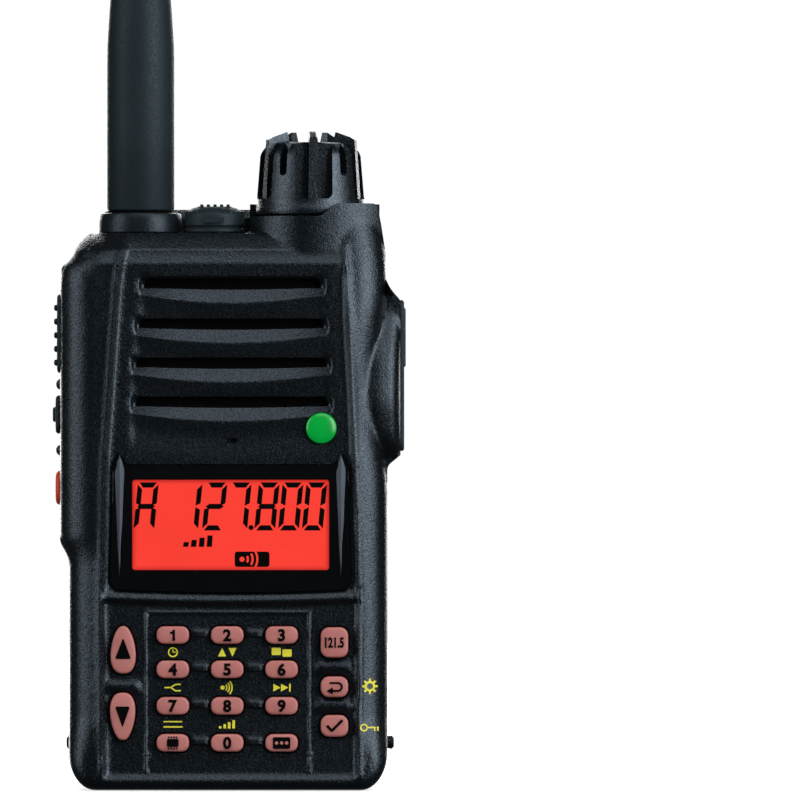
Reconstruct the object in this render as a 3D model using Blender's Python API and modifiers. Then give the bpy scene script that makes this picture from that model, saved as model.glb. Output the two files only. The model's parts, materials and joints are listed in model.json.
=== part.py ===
"""Handheld airband transceiver with a flexible antenna, a rear battery and a belt clip.

Lengths below are in millimetres, and the helpers turn them into metres. +Z is up, the face looks
towards -Y, and +X is to the right of someone who looks at the face. Z = 0 is the foot of the case.
"""

import math

import bmesh
import bpy
from mathutils import Matrix, Vector

MM = 0.001

# ---------------------------------------------------------------- driving dimensions
FRONT_Y = -16.0  # plane of the face
SEAM_Y = 1.0  # rear edge of the front case
BACK_Y = 16.0  # rear face of the battery and of the chassis block
WALL = 2.0
FACE_WALL = 2.4
SEAM_GAP = 0.15
FIELD_DEEP = 0.5  # the speaker field and the keypad fields lie this far back

FOOT_HALF = 30.1  # half width below the shoulders
SHOULDER_L = -32.0
SHOULDER_R = 32.6
DECK_Z = 105.6  # top of the case between antenna and tower
TOWER_Z = 108.8
RIM_Z = 111.2
RIDGE_Z = 110.3
TOWER_X0 = 3.9

PLATE_Y = 5.5  # rear face of the chassis behind the battery
BLOCK_Z = 85.3  # underside of the chassis block above the battery
RAIL_X = (-20.0, 20.0)

ANTENNA = (-16.9, 0.5)
ANTENNA_TOP = 261.0
WHIP_R = 4.05
CAP = (-2.8, -2.5)
CAP_R = 5.7
KNOB = (15.5, -1.5)
KNOB_R = 10.4
KNOB_DECK = 122.9
KNOB_TOP = 124.9
KNOB_TURN = 4.0  # degrees by which the first blade stands off the front

SLOT_ROWS = ((96.0, -16.2, 17.7), (88.4, -17.1, 18.2), (81.0, -17.7, 18.8), (73.6, -17.8, 19.1))
SLOT_H = 1.9
INDICATOR = (17.6, 68.6, 2.9)  # x, z, radius
MIC = (0.6, 66.2)

LENS = (-22.3, 23.2, 37.7, 61.6)  # x0, x1, z0, z1
LCD = (-20.0, 20.2, 40.4, 60.0)
SPEAR_X = (-20.6, 21.3)

KEY_COLS = (-10.5, -0.2, 10.1)
KEY_ROWS = (29.4, 22.9, 16.0, 9.0)
KEY_W, KEY_H = 6.3, 3.5
SIDE_KEY_X, SIDE_KEY_W = 20.1, 5.35
SIDE_KEYS = (("key_emergency", 28.0, 5.9), ("key_return", 19.6, 4.1), ("key_enter", 12.2, 4.3))
KEY_TOP = 0.7  # how far a key stands out of the face
KEY_GAP = 0.25

PTT = (-10.0, -0.7, 79.0, 94.0)  # y0, y1, z0, z1 of each piece on the sides
SIDE_KEY = (-8.6, -1.9, 67.5, 74.8)
MONITOR = (-8.5, -2.3, 54.0, 60.5)
FLANGE_X = -29.5
COVER = (-9.1, -0.1, 64.2, 92.9)
COVER_HINGE = (33.3, -4.6, 64.2)
SOCKET_Y = -6.8
SOCKETS = ((84.0, 1.75), (73.0, 2.2))  # z, radius

SCREWS = ((-24.6, 8.2), (24.6, 8.2), (-25.0, 99.0), (25.0, 99.0))
SCREW_SEAT = 3.4
BATTERY_Z = (0.2, 85.0)
LATCH_AXIS = (12.6, 8.4)  # y, z
CLIP_AXIS = (19.8, 95.0)


# ---------------------------------------------------------------- helpers
FINISHES = {  # colour, roughness, metallic
    "case_plastic": ((0.012, 0.016, 0.019), 0.45, 0.0),
    "rubber": ((0.013, 0.018, 0.021), 0.7, 0.0),
    "gloss_black": ((0.004, 0.005, 0.006), 0.08, 0.0),
    "key_rose": ((0.52, 0.17, 0.15), 0.5, 0.0),
    "display_red": ((1.0, 0.05, 0.03), 0.3, 0.0),
    "lamp_green": ((0.0, 0.36, 0.04), 0.2, 0.0),
    "button_orange": ((0.95, 0.08, 0.01), 0.5, 0.0),
    "steel": ((0.55, 0.55, 0.56), 0.3, 1.0),
    "brass": ((0.66, 0.5, 0.24), 0.3, 1.0),
    "die_cast": ((0.02, 0.024, 0.028), 0.5, 0.6),
    "board_green": ((0.01, 0.12, 0.05), 0.5, 0.0),
    "cell_sleeve": ((0.05, 0.16, 0.3), 0.4, 0.0),
    "paper_cone": ((0.03, 0.03, 0.03), 0.8, 0.0),
}
TURN_TO = {"Z": (0.0, 0.0, 0.0), "Y": (-math.pi / 2, 0.0, 0.0), "X": (0.0, math.pi / 2, 0.0)}
DRAW_ON = {"Z": (0.0, 0.0, 0.0), "Y": (math.pi / 2, 0.0, 0.0), "X": (math.pi / 2, 0.0, math.pi / 2)}


def clear_scene():
    for old in list(bpy.data.objects):
        bpy.data.objects.remove(old, do_unlink=True)


def collection(name):
    made = bpy.data.collections.new(name)
    bpy.context.scene.collection.children.link(made)
    return made


def finish(name):
    """The named finish as a material, made once."""
    known = bpy.data.materials.get(name)
    if known:
        return known
    colour, roughness, metallic = FINISHES[name]
    made = bpy.data.materials.new(name)
    made.use_nodes = True
    shader = made.node_tree.nodes["Principled BSDF"]
    shader.inputs["Base Color"].default_value = (*colour, 1.0)
    shader.inputs["Roughness"].default_value = roughness
    shader.inputs["Metallic"].default_value = metallic
    return made


def new_object(name, data, at=(0, 0, 0), turn=(0, 0, 0)):
    obj = bpy.data.objects.new(name, data)
    obj.location = Vector(at) * MM
    obj.rotation_euler = turn
    parts.objects.link(obj)
    return obj


def from_bmesh(name, bm, at=(0, 0, 0), turn=(0, 0, 0)):
    bmesh.ops.recalc_face_normals(bm, faces=bm.faces)
    data = bpy.data.meshes.new(name)
    bm.to_mesh(data)
    bm.free()
    return new_object(name, data, at, turn)


def box(name, low, high):
    low, high = Vector(low), Vector(high)
    bm = bmesh.new()
    bmesh.ops.create_cube(bm, size=1.0, matrix=Matrix.Diagonal((*((high - low) * MM), 1.0)))
    return from_bmesh(name, bm, (low + high) / 2)


def point_on(axis, pair, height):
    """The point `height` along the axis whose other two coordinates are `pair`."""
    a, b = pair
    return {"X": (height, a, b), "Y": (a, height, b), "Z": (a, b, height)}[axis]


def turned(name, centre, profile, steps=24, axis="Z", ring=False):
    """A profile of (radius, height) turned about the axis through `centre` by a Screw modifier."""
    area = sum(
        r0 * h1 - r1 * h0 for (r0, h0), (r1, h1) in zip(profile, profile[1:] + profile[:1])
    )
    if area > 0:  # the outer side has to run from top to bottom
        profile = profile[::-1]
    data = bpy.data.meshes.new(name)
    links = [(i, i + 1) for i in range(len(profile) - 1)]
    if ring:
        links.append((len(profile) - 1, 0))
    data.from_pydata([(r * MM, 0.0, h * MM) for r, h in profile], links, [])
    obj = new_object(name, data, point_on(axis, centre, 0.0), TURN_TO[axis])
    screw = obj.modifiers.new("Turn", "SCREW")
    screw.steps = screw.render_steps = steps
    screw.use_merge_vertices = True
    screw.merge_threshold = 0.00001
    screw.use_smooth_shade = True
    return obj


def cylinder(name, centre, radius, low, high, steps=24, axis="Z"):
    profile = [(0, high), (radius, high), (radius, low), (0, low)]
    return turned(name, centre, profile, steps, axis)


def as_mesh(obj):
    """The curve object as a mesh object with its caps welded."""
    bpy.context.view_layer.update()
    graph = bpy.context.evaluated_depsgraph_get()
    data = bpy.data.meshes.new_from_object(obj.evaluated_get(graph))
    bm = bmesh.new()
    bm.from_mesh(data)
    bmesh.ops.remove_doubles(bm, verts=bm.verts, dist=0.000005)
    bmesh.ops.recalc_face_normals(bm, faces=bm.faces)
    bm.to_mesh(data)
    bm.free()
    name, where = obj.name, obj.matrix_world.copy()
    bpy.data.objects.remove(obj, do_unlink=True)
    made = bpy.data.objects.new(name, data)
    made.matrix_world = where
    parts.objects.link(made)
    return made


def prism(name, outline, low, high, axis="Y"):
    """A flat outline, extruded along the axis from `low` to `high`."""
    curve = bpy.data.curves.new(name, "CURVE")
    curve.dimensions = "2D"
    curve.fill_mode = "BOTH"
    curve.extrude = (high - low) / 2 * MM
    spline = curve.splines.new("POLY")
    spline.points.add(len(outline) - 1)
    for point, (a, b) in zip(spline.points, outline):
        point.co = (a * MM, b * MM, 0.0, 1.0)
    spline.use_cyclic_u = True
    middle = point_on(axis, (0.0, 0.0), (low + high) / 2)
    return as_mesh(new_object(name, curve, middle, DRAW_ON[axis]))


def loft(name, rings):
    """A closed solid between unlike sections, given as rings of points with equal counts."""
    bm = bmesh.new()
    made = [[bm.verts.new(Vector(point) * MM) for point in ring] for ring in rings]
    count = len(rings[0])
    for low, high in zip(made, made[1:]):
        for i in range(count):
            bm.faces.new((low[i], low[i - 1], high[i - 1], high[i]))
    bm.faces.new(made[0])
    bm.faces.new(made[-1])
    return from_bmesh(name, bm)


def soften(obj, width, pick, segments=1):
    """Bevels the edges whose two ends both satisfy pick(x, y, z), given in millimetres."""
    bpy.context.view_layer.update()
    bm = bmesh.new()
    bm.from_mesh(obj.data)
    world = obj.matrix_world
    chosen = [
        edge
        for edge in bm.edges
        if all(pick(*(world @ end.co / MM)) for end in edge.verts)
        and edge.calc_face_angle(0.0) > 0.3
    ]
    bmesh.ops.bevel(
        bm, geom=chosen, offset=width * MM, segments=segments, affect="EDGES", profile=0.5
    )
    bm.to_mesh(obj.data)
    bm.free()
    return obj


def boolean(target, tool, operation):
    parts.objects.unlink(tool)
    cutters.objects.link(tool)
    tool.name = f"{target.name}_{operation.lower()}_{len(target.modifiers)}"
    tool.hide_render = True
    tool.display_type = "WIRE"
    step = target.modifiers.new(tool.name, "BOOLEAN")
    step.operation = operation
    step.solver = "EXACT"
    step.object = tool


def cut(target, *tools):
    for tool in tools:
        boolean(target, tool, "DIFFERENCE")


def add(target, *tools):
    for tool in tools:
        boolean(target, tool, "UNION")


def body(name, at=(0, 0, 0), parent=None):
    """An empty on the joint that carries one moving group."""
    empty = bpy.data.objects.new(name, None)
    empty.empty_display_size = 0.01
    empty.matrix_world = Matrix.Translation(Vector(at) * MM)
    parts.objects.link(empty)
    if parent:
        hang(empty, parent)
    return empty


def hang(obj, carrier):
    """Parents obj to the carrier without moving it."""
    bpy.context.view_layer.update()
    obj.parent = carrier
    obj.matrix_parent_inverse = carrier.matrix_world.inverted()


def dress(obj, finish_name, carrier):
    """Gives a part its material and its carrier, and shades its round sides smooth."""
    obj.data.materials.append(finish(finish_name))
    if obj.type == "MESH" and obj.data.polygons:
        obj.data.shade_smooth()
        obj.data.set_sharp_from_angle(angle=math.radians(35))
    hang(obj, carrier)
    return obj


# ---------------------------------------------------------------- outlines
def arc(cx, cz, rx, rz, start, end, count):
    """Points of an elliptical arc between two angles in degrees."""
    angles = (math.radians(start + (end - start) * i / count) for i in range(count + 1))
    return [(cx + rx * math.cos(t), cz + rz * math.sin(t)) for t in angles]


def rounded(x0, x1, z0, z1, radius, count=2):
    """A rectangle with round corners."""
    r = min(radius, (x1 - x0) / 2 - 0.01, (z1 - z0) / 2 - 0.01)
    return (
        arc(x1 - r, z0 + r, r, r, -90, 0, count)
        + arc(x1 - r, z1 - r, r, r, 0, 90, count)
        + arc(x0 + r, z1 - r, r, r, 90, 180, count)
        + arc(x0 + r, z0 + r, r, r, 180, 270, count)
    )


def grown(outline, by):
    """The anticlockwise outline moved outwards by `by`, or inwards where it is negative."""
    moved = []
    for i, point in enumerate(outline):
        here = Vector(point)
        one = (here - Vector(outline[i - 1])).normalized()
        two = (Vector(outline[(i + 1) % len(outline)]) - here).normalized()
        normal = Vector((one.y + two.y, -one.x - two.x)).normalized()
        lean = max(0.5, normal.dot(Vector((one.y, -one.x))))
        moved.append(tuple(here + normal * (by / lean)))
    return moved


def body_outline():
    """Front view of the case, anticlockwise from its foot."""
    right = arc(FOOT_HALF - 5.0, 7.2, 5.0, 7.2, -90, 0, 4) + [
        (FOOT_HALF, 61.4),
        (SHOULDER_R, 63.4),
        (SHOULDER_R, 92.9),
        (31.0, 94.6),
        (30.0, 96.3),
        (29.8, DECK_Z - 4.0),
        (29.2, DECK_Z),
    ]
    left = [
        (-26.0, DECK_Z),
        (-27.6, DECK_Z - 0.6),
        (-28.7, DECK_Z - 1.8),
        (-29.5, DECK_Z - 4.0),
        (-31.7, 99.1),
        (SHOULDER_L, 96.0),
        (SHOULDER_L, 47.0),
        (-30.3, 43.8),
    ] + arc(-25.3, 7.2, 5.0, 7.2, 180, 270, 4)
    return right + left


def lens_outline():
    """Display window with a slightly bowed foot and a horn at each upper corner."""
    x0, x1, z0, z1 = LENS
    foot = [(x0 + 0.9, z0 + 0.5), (x0 + 8.0, z0 + 0.2), ((x0 + x1) / 2, z0 - 0.2), (x1 - 8.0, z0 + 0.2)]
    right = [(x1 - 0.9, z0 + 0.5), (x1, z0 + 2.2), (x1 - 0.6, z1), (x1 - 1.6, z1 + 2.4), (x1 - 2.9, z1)]
    left = [(x0 + 2.9, z1), (x0 + 1.6, z1 + 2.4), (x0 + 0.6, z1), (x0, z0 + 2.2)]
    return foot + right + left


def egg(cx, cz, width, height, lean):
    """Tall rounded key, narrower at the top for lean 1 and at the foot for lean -1."""
    points = []
    for i in range(12):
        t = 2 * math.pi * (i + 0.5) / 12
        z = math.sin(t)
        x = math.copysign(abs(math.cos(t)) ** 0.75, math.cos(t))
        points.append((cx + width / 2 * x * (1 - lean * z * 0.22), cz + height / 2 * z))
    return points


def rounded_about(x, z, width, height, radius):
    return rounded(x - width / 2, x + width / 2, z - height / 2, z + height / 2, radius)


def key_outlines():
    """Outline of each key by name."""
    names = (
        ("key_1", "key_2", "key_3"),
        ("key_4", "key_5", "key_6"),
        ("key_7", "key_8", "key_9"),
        ("key_memory", "key_0", "key_function"),
    )
    keys = {
        name: rounded_about(x, z, KEY_W, KEY_H, 1.5)
        for row, z in zip(names, KEY_ROWS)
        for name, x in zip(row, KEY_COLS)
    }
    keys["key_up"] = egg(-19.9, 26.6, 4.8, 9.2, 1)
    keys["key_down"] = egg(-20.0, 14.0, 4.8, 9.2, -1)
    for name, z, height in SIDE_KEYS:
        keys[name] = rounded_about(SIDE_KEY_X, z, SIDE_KEY_W, height, 1.6)
    return keys


# ---------------------------------------------------------------- case
def tower_solid(low, high):
    """The raised part that carries the knob, in front of the seam."""
    front = arc(*KNOB, 12.4, 12.9, -159, -14, 9)
    tower = prism("tower", [(TOWER_X0, SEAM_Y)] + front + [(28.6, SEAM_Y)], low, high, "Z")
    return soften(tower, 0.7, lambda x, y, z: z > high - 0.1 and y < SEAM_Y - 0.1)


def knob_well():
    return cylinder("well", KNOB, KNOB_R + 0.5, TOWER_Z - 0.5, 130.0, 32)


def deck_holes():
    return [
        cylinder("hole", centre, radius, 95.0, 130.0, 20)
        for centre, radius in ((KNOB, 3.6), (ANTENNA, 4.8), (CAP, 4.1))
    ]


def make_front_case(carrier):
    inside = FRONT_Y + FACE_WALL
    floor = FRONT_Y + FIELD_DEEP
    case = prism("front_case", body_outline(), FRONT_Y, SEAM_Y)
    soften(case, 1.1, lambda x, y, z: y < FRONT_Y + 0.1, 2)

    # The face leans back below the deck, then the tower rises over the slope.
    slope = [(-18.0, 99.0), (-14.7, 102.4), (-11.2, DECK_Z), (-11.2, 115.0), (-18.0, 115.0)]
    cut(case, prism("slope", slope, -40, 40, "X"))
    add(case, tower_solid(98.0, RIM_Z))
    step = [(0, TOWER_Z), (17.6, TOWER_Z), (20.2, RIM_Z + 0.5), (20.2, 120), (0, 120)]
    cut(case, prism("step", step, -30, 30))

    # Room inside, open at the back, and thin just behind the face.
    cut(case, prism("room", grown(body_outline(), -WALL), inside + 2.2, SEAM_Y + 5))
    cut(case, box("shallow", (-26.5, inside, 3.0), (26.5, inside + 4, 99.0)))
    cut(case, knob_well(), *deck_holes())

    # Speaker field with its louvres, indicator hole and microphone port.
    field = [(-22.2, 63.6), (23.7, 62.9), (22.9, 68.0), (21.8, 89.0)]
    field += [(20.9, 99.4), (-19.8, 99.4), (-20.5, 86.0), (-21.3, 68.0)]
    cut(case, prism("field", field, FRONT_Y - 3, floor))
    for z, x0, x1 in SLOT_ROWS:
        sag = [(x0 + (x1 - x0) * i / 6, z - 0.65 - 0.6 * math.sin(math.pi * i / 6)) for i in range(7)]
        slot = sag + [(x1 - 0.8, z + SLOT_H / 2), (x0 + 0.8, z + SLOT_H / 2)]
        cut(case, prism("slot", slot, -30, -8))
    x, z, radius = INDICATOR
    cut(case, cylinder("lamp", (x, z), radius + 0.25, -30, -8, 20, "Y"))
    cut(case, prism("port", rounded_about(*MIC, 2.2, 1.0, 0.5), -30, -8))

    # Display window, keypad fields and key holes.
    cut(case, prism("window", grown(lens_outline(), 0.2), -30, -8))
    for x0, x1, z1 in ((-23.3, -15.9, 34.0), (-15.3, 14.9, 33.6), (15.6, 23.9, 34.0)):
        cut(case, prism("pad", rounded(x0, x1, 3.6, z1, 2.2), -30, floor))
    for outline in key_outlines().values():
        cut(case, prism("key", grown(outline, KEY_GAP), -30, -8))

    # Left side: openings for the bar and the two buttons, with a small stud by each gap.
    for (y0, y1, z0, z1), radius in ((PTT, 1.6), (SIDE_KEY, 1.6), (MONITOR, 2.4)):
        opening = rounded(y0 - 0.3, y1 + 0.3, z0 - 0.3, z1 + 0.3, radius)
        cut(case, prism("opening", opening, -36, -26, "X"))
    for z in (76.9, 64.4):
        stud = [(0, -31.0), (1.1, -31.0), (1.0, -32.5), (0.6, -32.8), (0, -32.9)]
        add(case, turned("stud", (-5.2, z), stud, 10, "X"))

    # Right side: recess under the cover, and its two socket holes.
    y0, y1, z0, z1 = COVER
    cut(case, prism("recess", rounded(y0 - 0.3, y1 + 0.3, z0 - 0.3, z1 + 0.3, 1.6), 31.5, 40, "X"))
    for z, radius in SOCKETS:
        cut(case, cylinder("socket", (SOCKET_Y, z), radius + 0.4, 26, 40, 16, "X"))

    # Bosses for the case screws.
    for x, z in SCREWS:
        add(case, cylinder("boss", (x, z), 2.7, FRONT_Y + 1.2, SEAM_Y - 0.2, 14, "Y"))
        cut(case, cylinder("pilot", (x, z), 1.4, -9.0, SEAM_Y + 5, 12, "Y"))
    dress(case, "case_plastic", carrier)


def gasket_band(inner, outer, low, high):
    """The band between two insets of the outline, down one side, round the foot and up the other."""
    outline = body_outline()
    count = len(outline)
    below = [i for i in range(count) if outline[i][1] < DECK_Z - 3.0]
    last_right = max(i for i in below if outline[i][0] > 0)
    path = [i % count for i in range(last_right + 1 - count, last_right + 1) if i % count in below]
    out, inn = grown(outline, -outer), grown(outline, -inner)
    return prism("band", [out[i] for i in path] + [inn[i] for i in reversed(path)], low, high)


def make_rear_chassis(carrier):
    front = SEAM_Y + SEAM_GAP
    chassis = prism("rear_chassis", body_outline(), front, PLATE_Y)

    upper = [(SHOULDER_R, BLOCK_Z)] + [p for p in body_outline() if p[1] > BLOCK_Z]
    block = prism("block", upper + [(SHOULDER_L, BLOCK_Z)], front + 1, BACK_Y)
    soften(block, 1.6, lambda x, y, z: y > BACK_Y - 0.1 and z > BLOCK_Z - 0.1, 2)
    add(chassis, block)

    # Back half of the tower and the ridge behind antenna and cap.
    tower = prism("tower", [(TOWER_X0, front), (28.6, front), (27.6, 14.8), (TOWER_X0, 14.8)], 100, RIM_Z, "Z")
    soften(tower, 0.9, lambda x, y, z: z > RIM_Z - 0.1 and y > front + 0.1)
    ridge = prism("ridge", [(-24.4, 9.6), (26.0, 9.6), (26.0, 15.2), (-24.4, 15.2)], 101, RIDGE_Z, "Z")
    soften(ridge, 1.6, lambda x, y, z: z > RIDGE_Z - 0.1, 2)
    add(chassis, tower, ridge)
    cut(chassis, knob_well())

    # Room for the control, the sockets and the board.
    cut(chassis, box("room", (-21.6, -5, 88.0), (21.6, 13.4, 103.2)))
    cut(chassis, box("tray", (-26.0, -5, 14.0), (26.0, 3.0, 84.0)))
    cut(chassis, *deck_holes())

    # Rails for the battery, pocket for its terminals, gasket groove and screw holes.
    for x in RAIL_X:
        add(chassis, box("rail", (x - 1.6, PLATE_Y - 0.5, 20), (x + 1.6, PLATE_Y + 1.4, 72)))
    cut(chassis, box("pocket", (-8.0, 3.6, 68.0), (8.0, 8.0, 80.0)))
    cut(chassis, gasket_band(1.8, 0.8, SEAM_Y - 2, front + 0.6))
    for x, z in SCREWS:
        back = BACK_Y if z > BLOCK_Z else PLATE_Y
        cut(chassis, cylinder("head", (x, z), 2.6, SCREW_SEAT, back + 3, 14, "Y"))
        cut(chassis, cylinder("shank", (x, z), 1.4, -3, SCREW_SEAT + 1, 12, "Y"))
    dress(chassis, "die_cast", carrier)


def make_gasket(carrier):
    gasket = gasket_band(1.65, 0.95, SEAM_Y + 0.05, SEAM_Y + SEAM_GAP + 0.45)
    gasket.name = "case_gasket"
    dress(gasket, "rubber", carrier)


def make_screws(carrier):
    """Four cross-head case screws, heads to the back."""
    profile = [(0, 5.2), (1.7, 5.2), (2.3, 4.7), (2.3, SCREW_SEAT + 0.2), (1.1, SCREW_SEAT + 0.2)]
    profile += [(1.1, -6.9), (0, -7.4)]
    for number, (x, z) in enumerate(SCREWS, 1):
        screw = turned(f"case_screw_{number}", (x, z), profile, 12, "Y")
        for turn in (0, math.pi / 2):
            groove = box("groove", (x - 1.5, 4.5, z - 0.3), (x + 1.5, 7, z + 0.3))
            groove.rotation_euler = (0, turn + 0.4 * number, 0)
            cut(screw, groove)
        dress(screw, "steel", carrier)


# ---------------------------------------------------------------- face pieces
def make_display(carrier):
    back = FRONT_Y + FACE_WALL - 0.1
    top = FRONT_Y + 0.15
    lens = prism("display_lens", lens_outline(), top, back)
    soften(lens, 0.3, lambda x, y, z: y < top + 0.1)
    for x in SPEAR_X:
        add(lens, spear(x, top + 0.8, top - 0.75))
    dress(lens, "gloss_black", carrier)

    x0, x1, z0, z1 = LCD
    panel = prism("lcd_panel", rounded(x0, x1, z0, z1, 1.0), back + 0.3, back + 2.6)
    dress(panel, "display_red", carrier)

    x, z, radius = INDICATOR
    dome = [(0, FRONT_Y - 0.35), (1.6, FRONT_Y - 0.2), (2.5, FRONT_Y + 0.05), (radius, FRONT_Y + 0.5)]
    lamp = turned("indicator_lens", (x, z), dome + [(radius, back), (0, back)], 20, "Y")
    dress(lamp, "lamp_green", carrier)


def spear(x, base, crest):
    """A long ridge with four facets, pointed at both ends."""
    half, slim = 1.25, 0.1
    foot = [(-half, 42.0), (0, 39.6), (half, 42.0), (half, 58.5), (0, 63.8), (-half, 58.5)]
    edge = [(-slim, 44.0), (0, 43.6), (slim, 44.0), (slim, 57.5), (0, 58.2), (-slim, 57.5)]
    return loft(
        "spear",
        [[(x + a, base, z) for a, z in foot], [(x + a, crest, z) for a, z in edge]],
    )


def make_keys(carrier_of):
    """Seventeen flanged keys, each on its own slide, over one rubber mat."""
    rear = FRONT_Y + FACE_WALL + 0.25
    face = FRONT_Y - KEY_TOP
    for name, outline in key_outlines().items():
        key = prism(name, outline, face, rear + 0.3)
        soften(key, 0.4, lambda x, y, z: y < face + 0.1)
        add(key, prism("flange", grown(outline, 0.4), rear, rear + 0.6))
        middle = sum((Vector(point) for point in outline), Vector((0, 0))) / len(outline)
        dress(key, "key_rose", body(f"{name}_slide", (middle.x, face, middle.y), carrier_of))
    mat = prism("keypad_mat", rounded(-24.6, 25.2, 3.4, 34.4, 2.0), rear + 1.5, rear + 2.2)
    for x, z in SCREWS[:2]:
        cut(mat, cylinder("clear", (x, z), 3.1, -30, 10, 14, "Y"))
    dress(mat, "rubber", carrier_of)


# ---------------------------------------------------------------- inside the case
def make_electronics(carrier):
    cone = [(0, -11.9), (4.6, -11.2), (11.6, -12.9), (13.8, -12.9), (13.8, -11.4)]
    cone += [(12.0, -9.6), (8.4, -9.2), (8.4, -6.4), (0, -6.4)]
    dress(turned("speaker", (0.4, 84.7), cone, 24, "Y"), "paper_cone", carrier)
    dress(cylinder("microphone", MIC, 2.2, -13.3, -10.6, 14, "Y"), "steel", carrier)

    board = box("main_board", (-25.6, -4.0, 4.2), (26.2, -2.4, 94.6))
    for x, z in SCREWS[:2]:
        cut(board, cylinder("clear", (x, z), 3.1, -30, 10, 14, "Y"))
    dress(board, "board_green", carrier)
    switches = box("side_switch_board", (-27.4, -10.4, 52.4), (-26.6, -4.6, 95.0))
    dress(switches, "board_green", carrier)

    jack = box("side_jack", (22.6, SOCKET_Y - 3.2, 68.0), (30.1, -4.3, 88.0))
    for z, radius in SOCKETS:
        cut(jack, cylinder("bore", (SOCKET_Y, z), radius, 24, 40, 14, "X"))
    dress(jack, "gloss_black", carrier)


def make_top_sockets(carrier):
    foot = DECK_Z + 0.15
    post = [(0, 97.0), (2.0, 97.0), (2.0, 99.5), (4.1, 99.5), (4.1, 108.2), (3.0, 108.4), (3.0, 113.6)]
    dress(turned("antenna_jack", ANTENNA, post + [(0, 113.6)], 20), "brass", carrier)

    ring = [(5.0, foot), (8.0, foot), (8.0, 106.6), (7.7, 109.1), (7.3, 109.5), (5.0, 109.5)]
    dress(turned("antenna_collar", ANTENNA, ring, 32, ring=True), "case_plastic", carrier)

    # Volume control: body, bush and a shaft with a flat.
    x, y = KNOB
    pot = box("volume_pot", (x - 5.4, y - 5.4, 96.0), (x + 5.4, y + 5.4, 103.0))
    add(pot, cylinder("bush", KNOB, 3.3, 101.0, 109.8, 16), cylinder("shaft", KNOB, 2.9, 108.0, 118.4, 16))
    cut(pot, box("flat", (x - 5, y + 1.8, 112.0), (x + 5, y + 6, 121.0)))
    dress(pot, "steel", carrier)

    cup = [(0, 98.0), (3.7, 98.0), (3.7, 108.3), (3.3, 108.7), (1.9, 108.7), (1.9, 101.0), (0, 101.0)]
    dress(turned("accessory_jack", CAP, cup, 18), "steel", carrier)


# ---------------------------------------------------------------- top controls
def make_antenna(carrier):
    """Rubber whip, thick at the foot, with its coaxial plug inside."""
    bore = [(0, 122.3), (4.9, 122.3), (4.9, 109.9)]
    whip = [(5.9, 109.9), (6.4, 110.4), (6.4, 138.5), (6.2, 144.0), (5.8, 150.0), (5.1, 159.0)]
    whip += [(4.4, 167.0), (4.1, 174.0), (WHIP_R, 181.0)]
    tip = [(WHIP_R * math.cos(t), ANTENNA_TOP - WHIP_R * (1 - math.sin(t))) for t in
           (math.pi / 2 * i / 4 for i in range(4))]
    dress(turned("antenna_whip", ANTENNA, bore + whip + tip + [(0, ANTENNA_TOP)], 24), "rubber", carrier)
    plug = [(0, 122.0), (4.6, 122.0), (4.6, 108.7), (3.3, 108.7), (3.3, 114.2), (0, 114.2)]
    dress(turned("antenna_plug", ANTENNA, plug, 20), "brass", carrier)


def make_knob(carrier):
    """Skirted knob with five windows and a blade down the middle of each."""
    bore = [(0, 118.9), (3.1, 118.9), (3.1, 110.3), (3.7, 110.3), (3.7, 109.1)]
    outside = [(KNOB_R - 0.4, 109.1), (KNOB_R, 109.5), (KNOB_R - 0.1, 112.0), (9.6, 120.3)]
    outside += [(8.9, 121.6), (7.6, KNOB_DECK), (0, KNOB_DECK)]
    knob = turned("volume_knob", KNOB, bore + outside, 40)
    centre = Vector((*KNOB, 0)) * MM
    for i in range(5):
        turn = math.radians(KNOB_TURN - 90 + 72 * i)
        window = prism("window", rounded(-3.55, 3.55, 112.1, 127.0, 1.0), 7.3, 14.0, "X")
        window.matrix_world = Matrix.Translation(centre) @ Matrix.Rotation(turn, 4, "Z") @ window.matrix_world
        cut(knob, window)
    for i in range(5):
        turn = math.radians(KNOB_TURN - 90 + 72 * i)
        blade = knob_blade()
        notch = box("notch", (9.1, -0.85, 116.6), (13.0, 0.85, 121.4))
        for tool, extra in ((blade, 0.0), (notch, math.radians(36))):
            spin = Matrix.Translation(centre) @ Matrix.Rotation(turn + extra, 4, "Z")
            tool.matrix_world = spin @ Matrix.Translation(tool.location)
        add(knob, blade)
        cut(knob, notch)
    dress(knob, "rubber", carrier)


def knob_blade():
    """One tapering blade along +X from the knob's axis, with a crest that falls outwards."""
    levels = (  # height at the inner and at the outer end, inner and outer radius, half thickness
        (111.0, 111.0, 4.7, 9.6, 1.1),
        (123.4, 123.4, 4.7, 8.8, 0.8),
        (KNOB_TOP, KNOB_TOP - 1.0, 5.0, 7.9, 0.6),
    )
    rings = [
        [(r0, -half, z0), (r0, half, z0), (r1, half, z1), (r1, -half, z1)]
        for z0, z1, r0, r1, half in levels
    ]
    return loft("blade", rings)


def make_accessory_cap(carrier):
    """Round screw cap, ribbed on top, with a pointer on its band."""
    x, y = CAP
    foot = DECK_Z + 0.2
    shape = [(0, 109.3), (4.1, 109.3), (4.1, foot), (5.6, foot), (5.6, 106.5), (5.3, 106.7), (CAP_R, 106.9)]
    shape += [(CAP_R, 109.3), (5.3, 109.6), (4.4, 110.4), (3.0, 110.7), (0, 110.7)]
    cap = turned("accessory_cap", CAP, shape, 28)
    for i in range(5):
        left = x - 2.7 + 1.25 * i
        add(cap, box("rib", (left, y - 2.0, 110.0), (left + 0.6, y + 2.0, 111.1)))
    add(cap, box("pointer", (x - 1.9, y - 6.2, 107.6), (x + 1.9, y - 5.0, 108.6)))
    dress(cap, "rubber", carrier)


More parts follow.
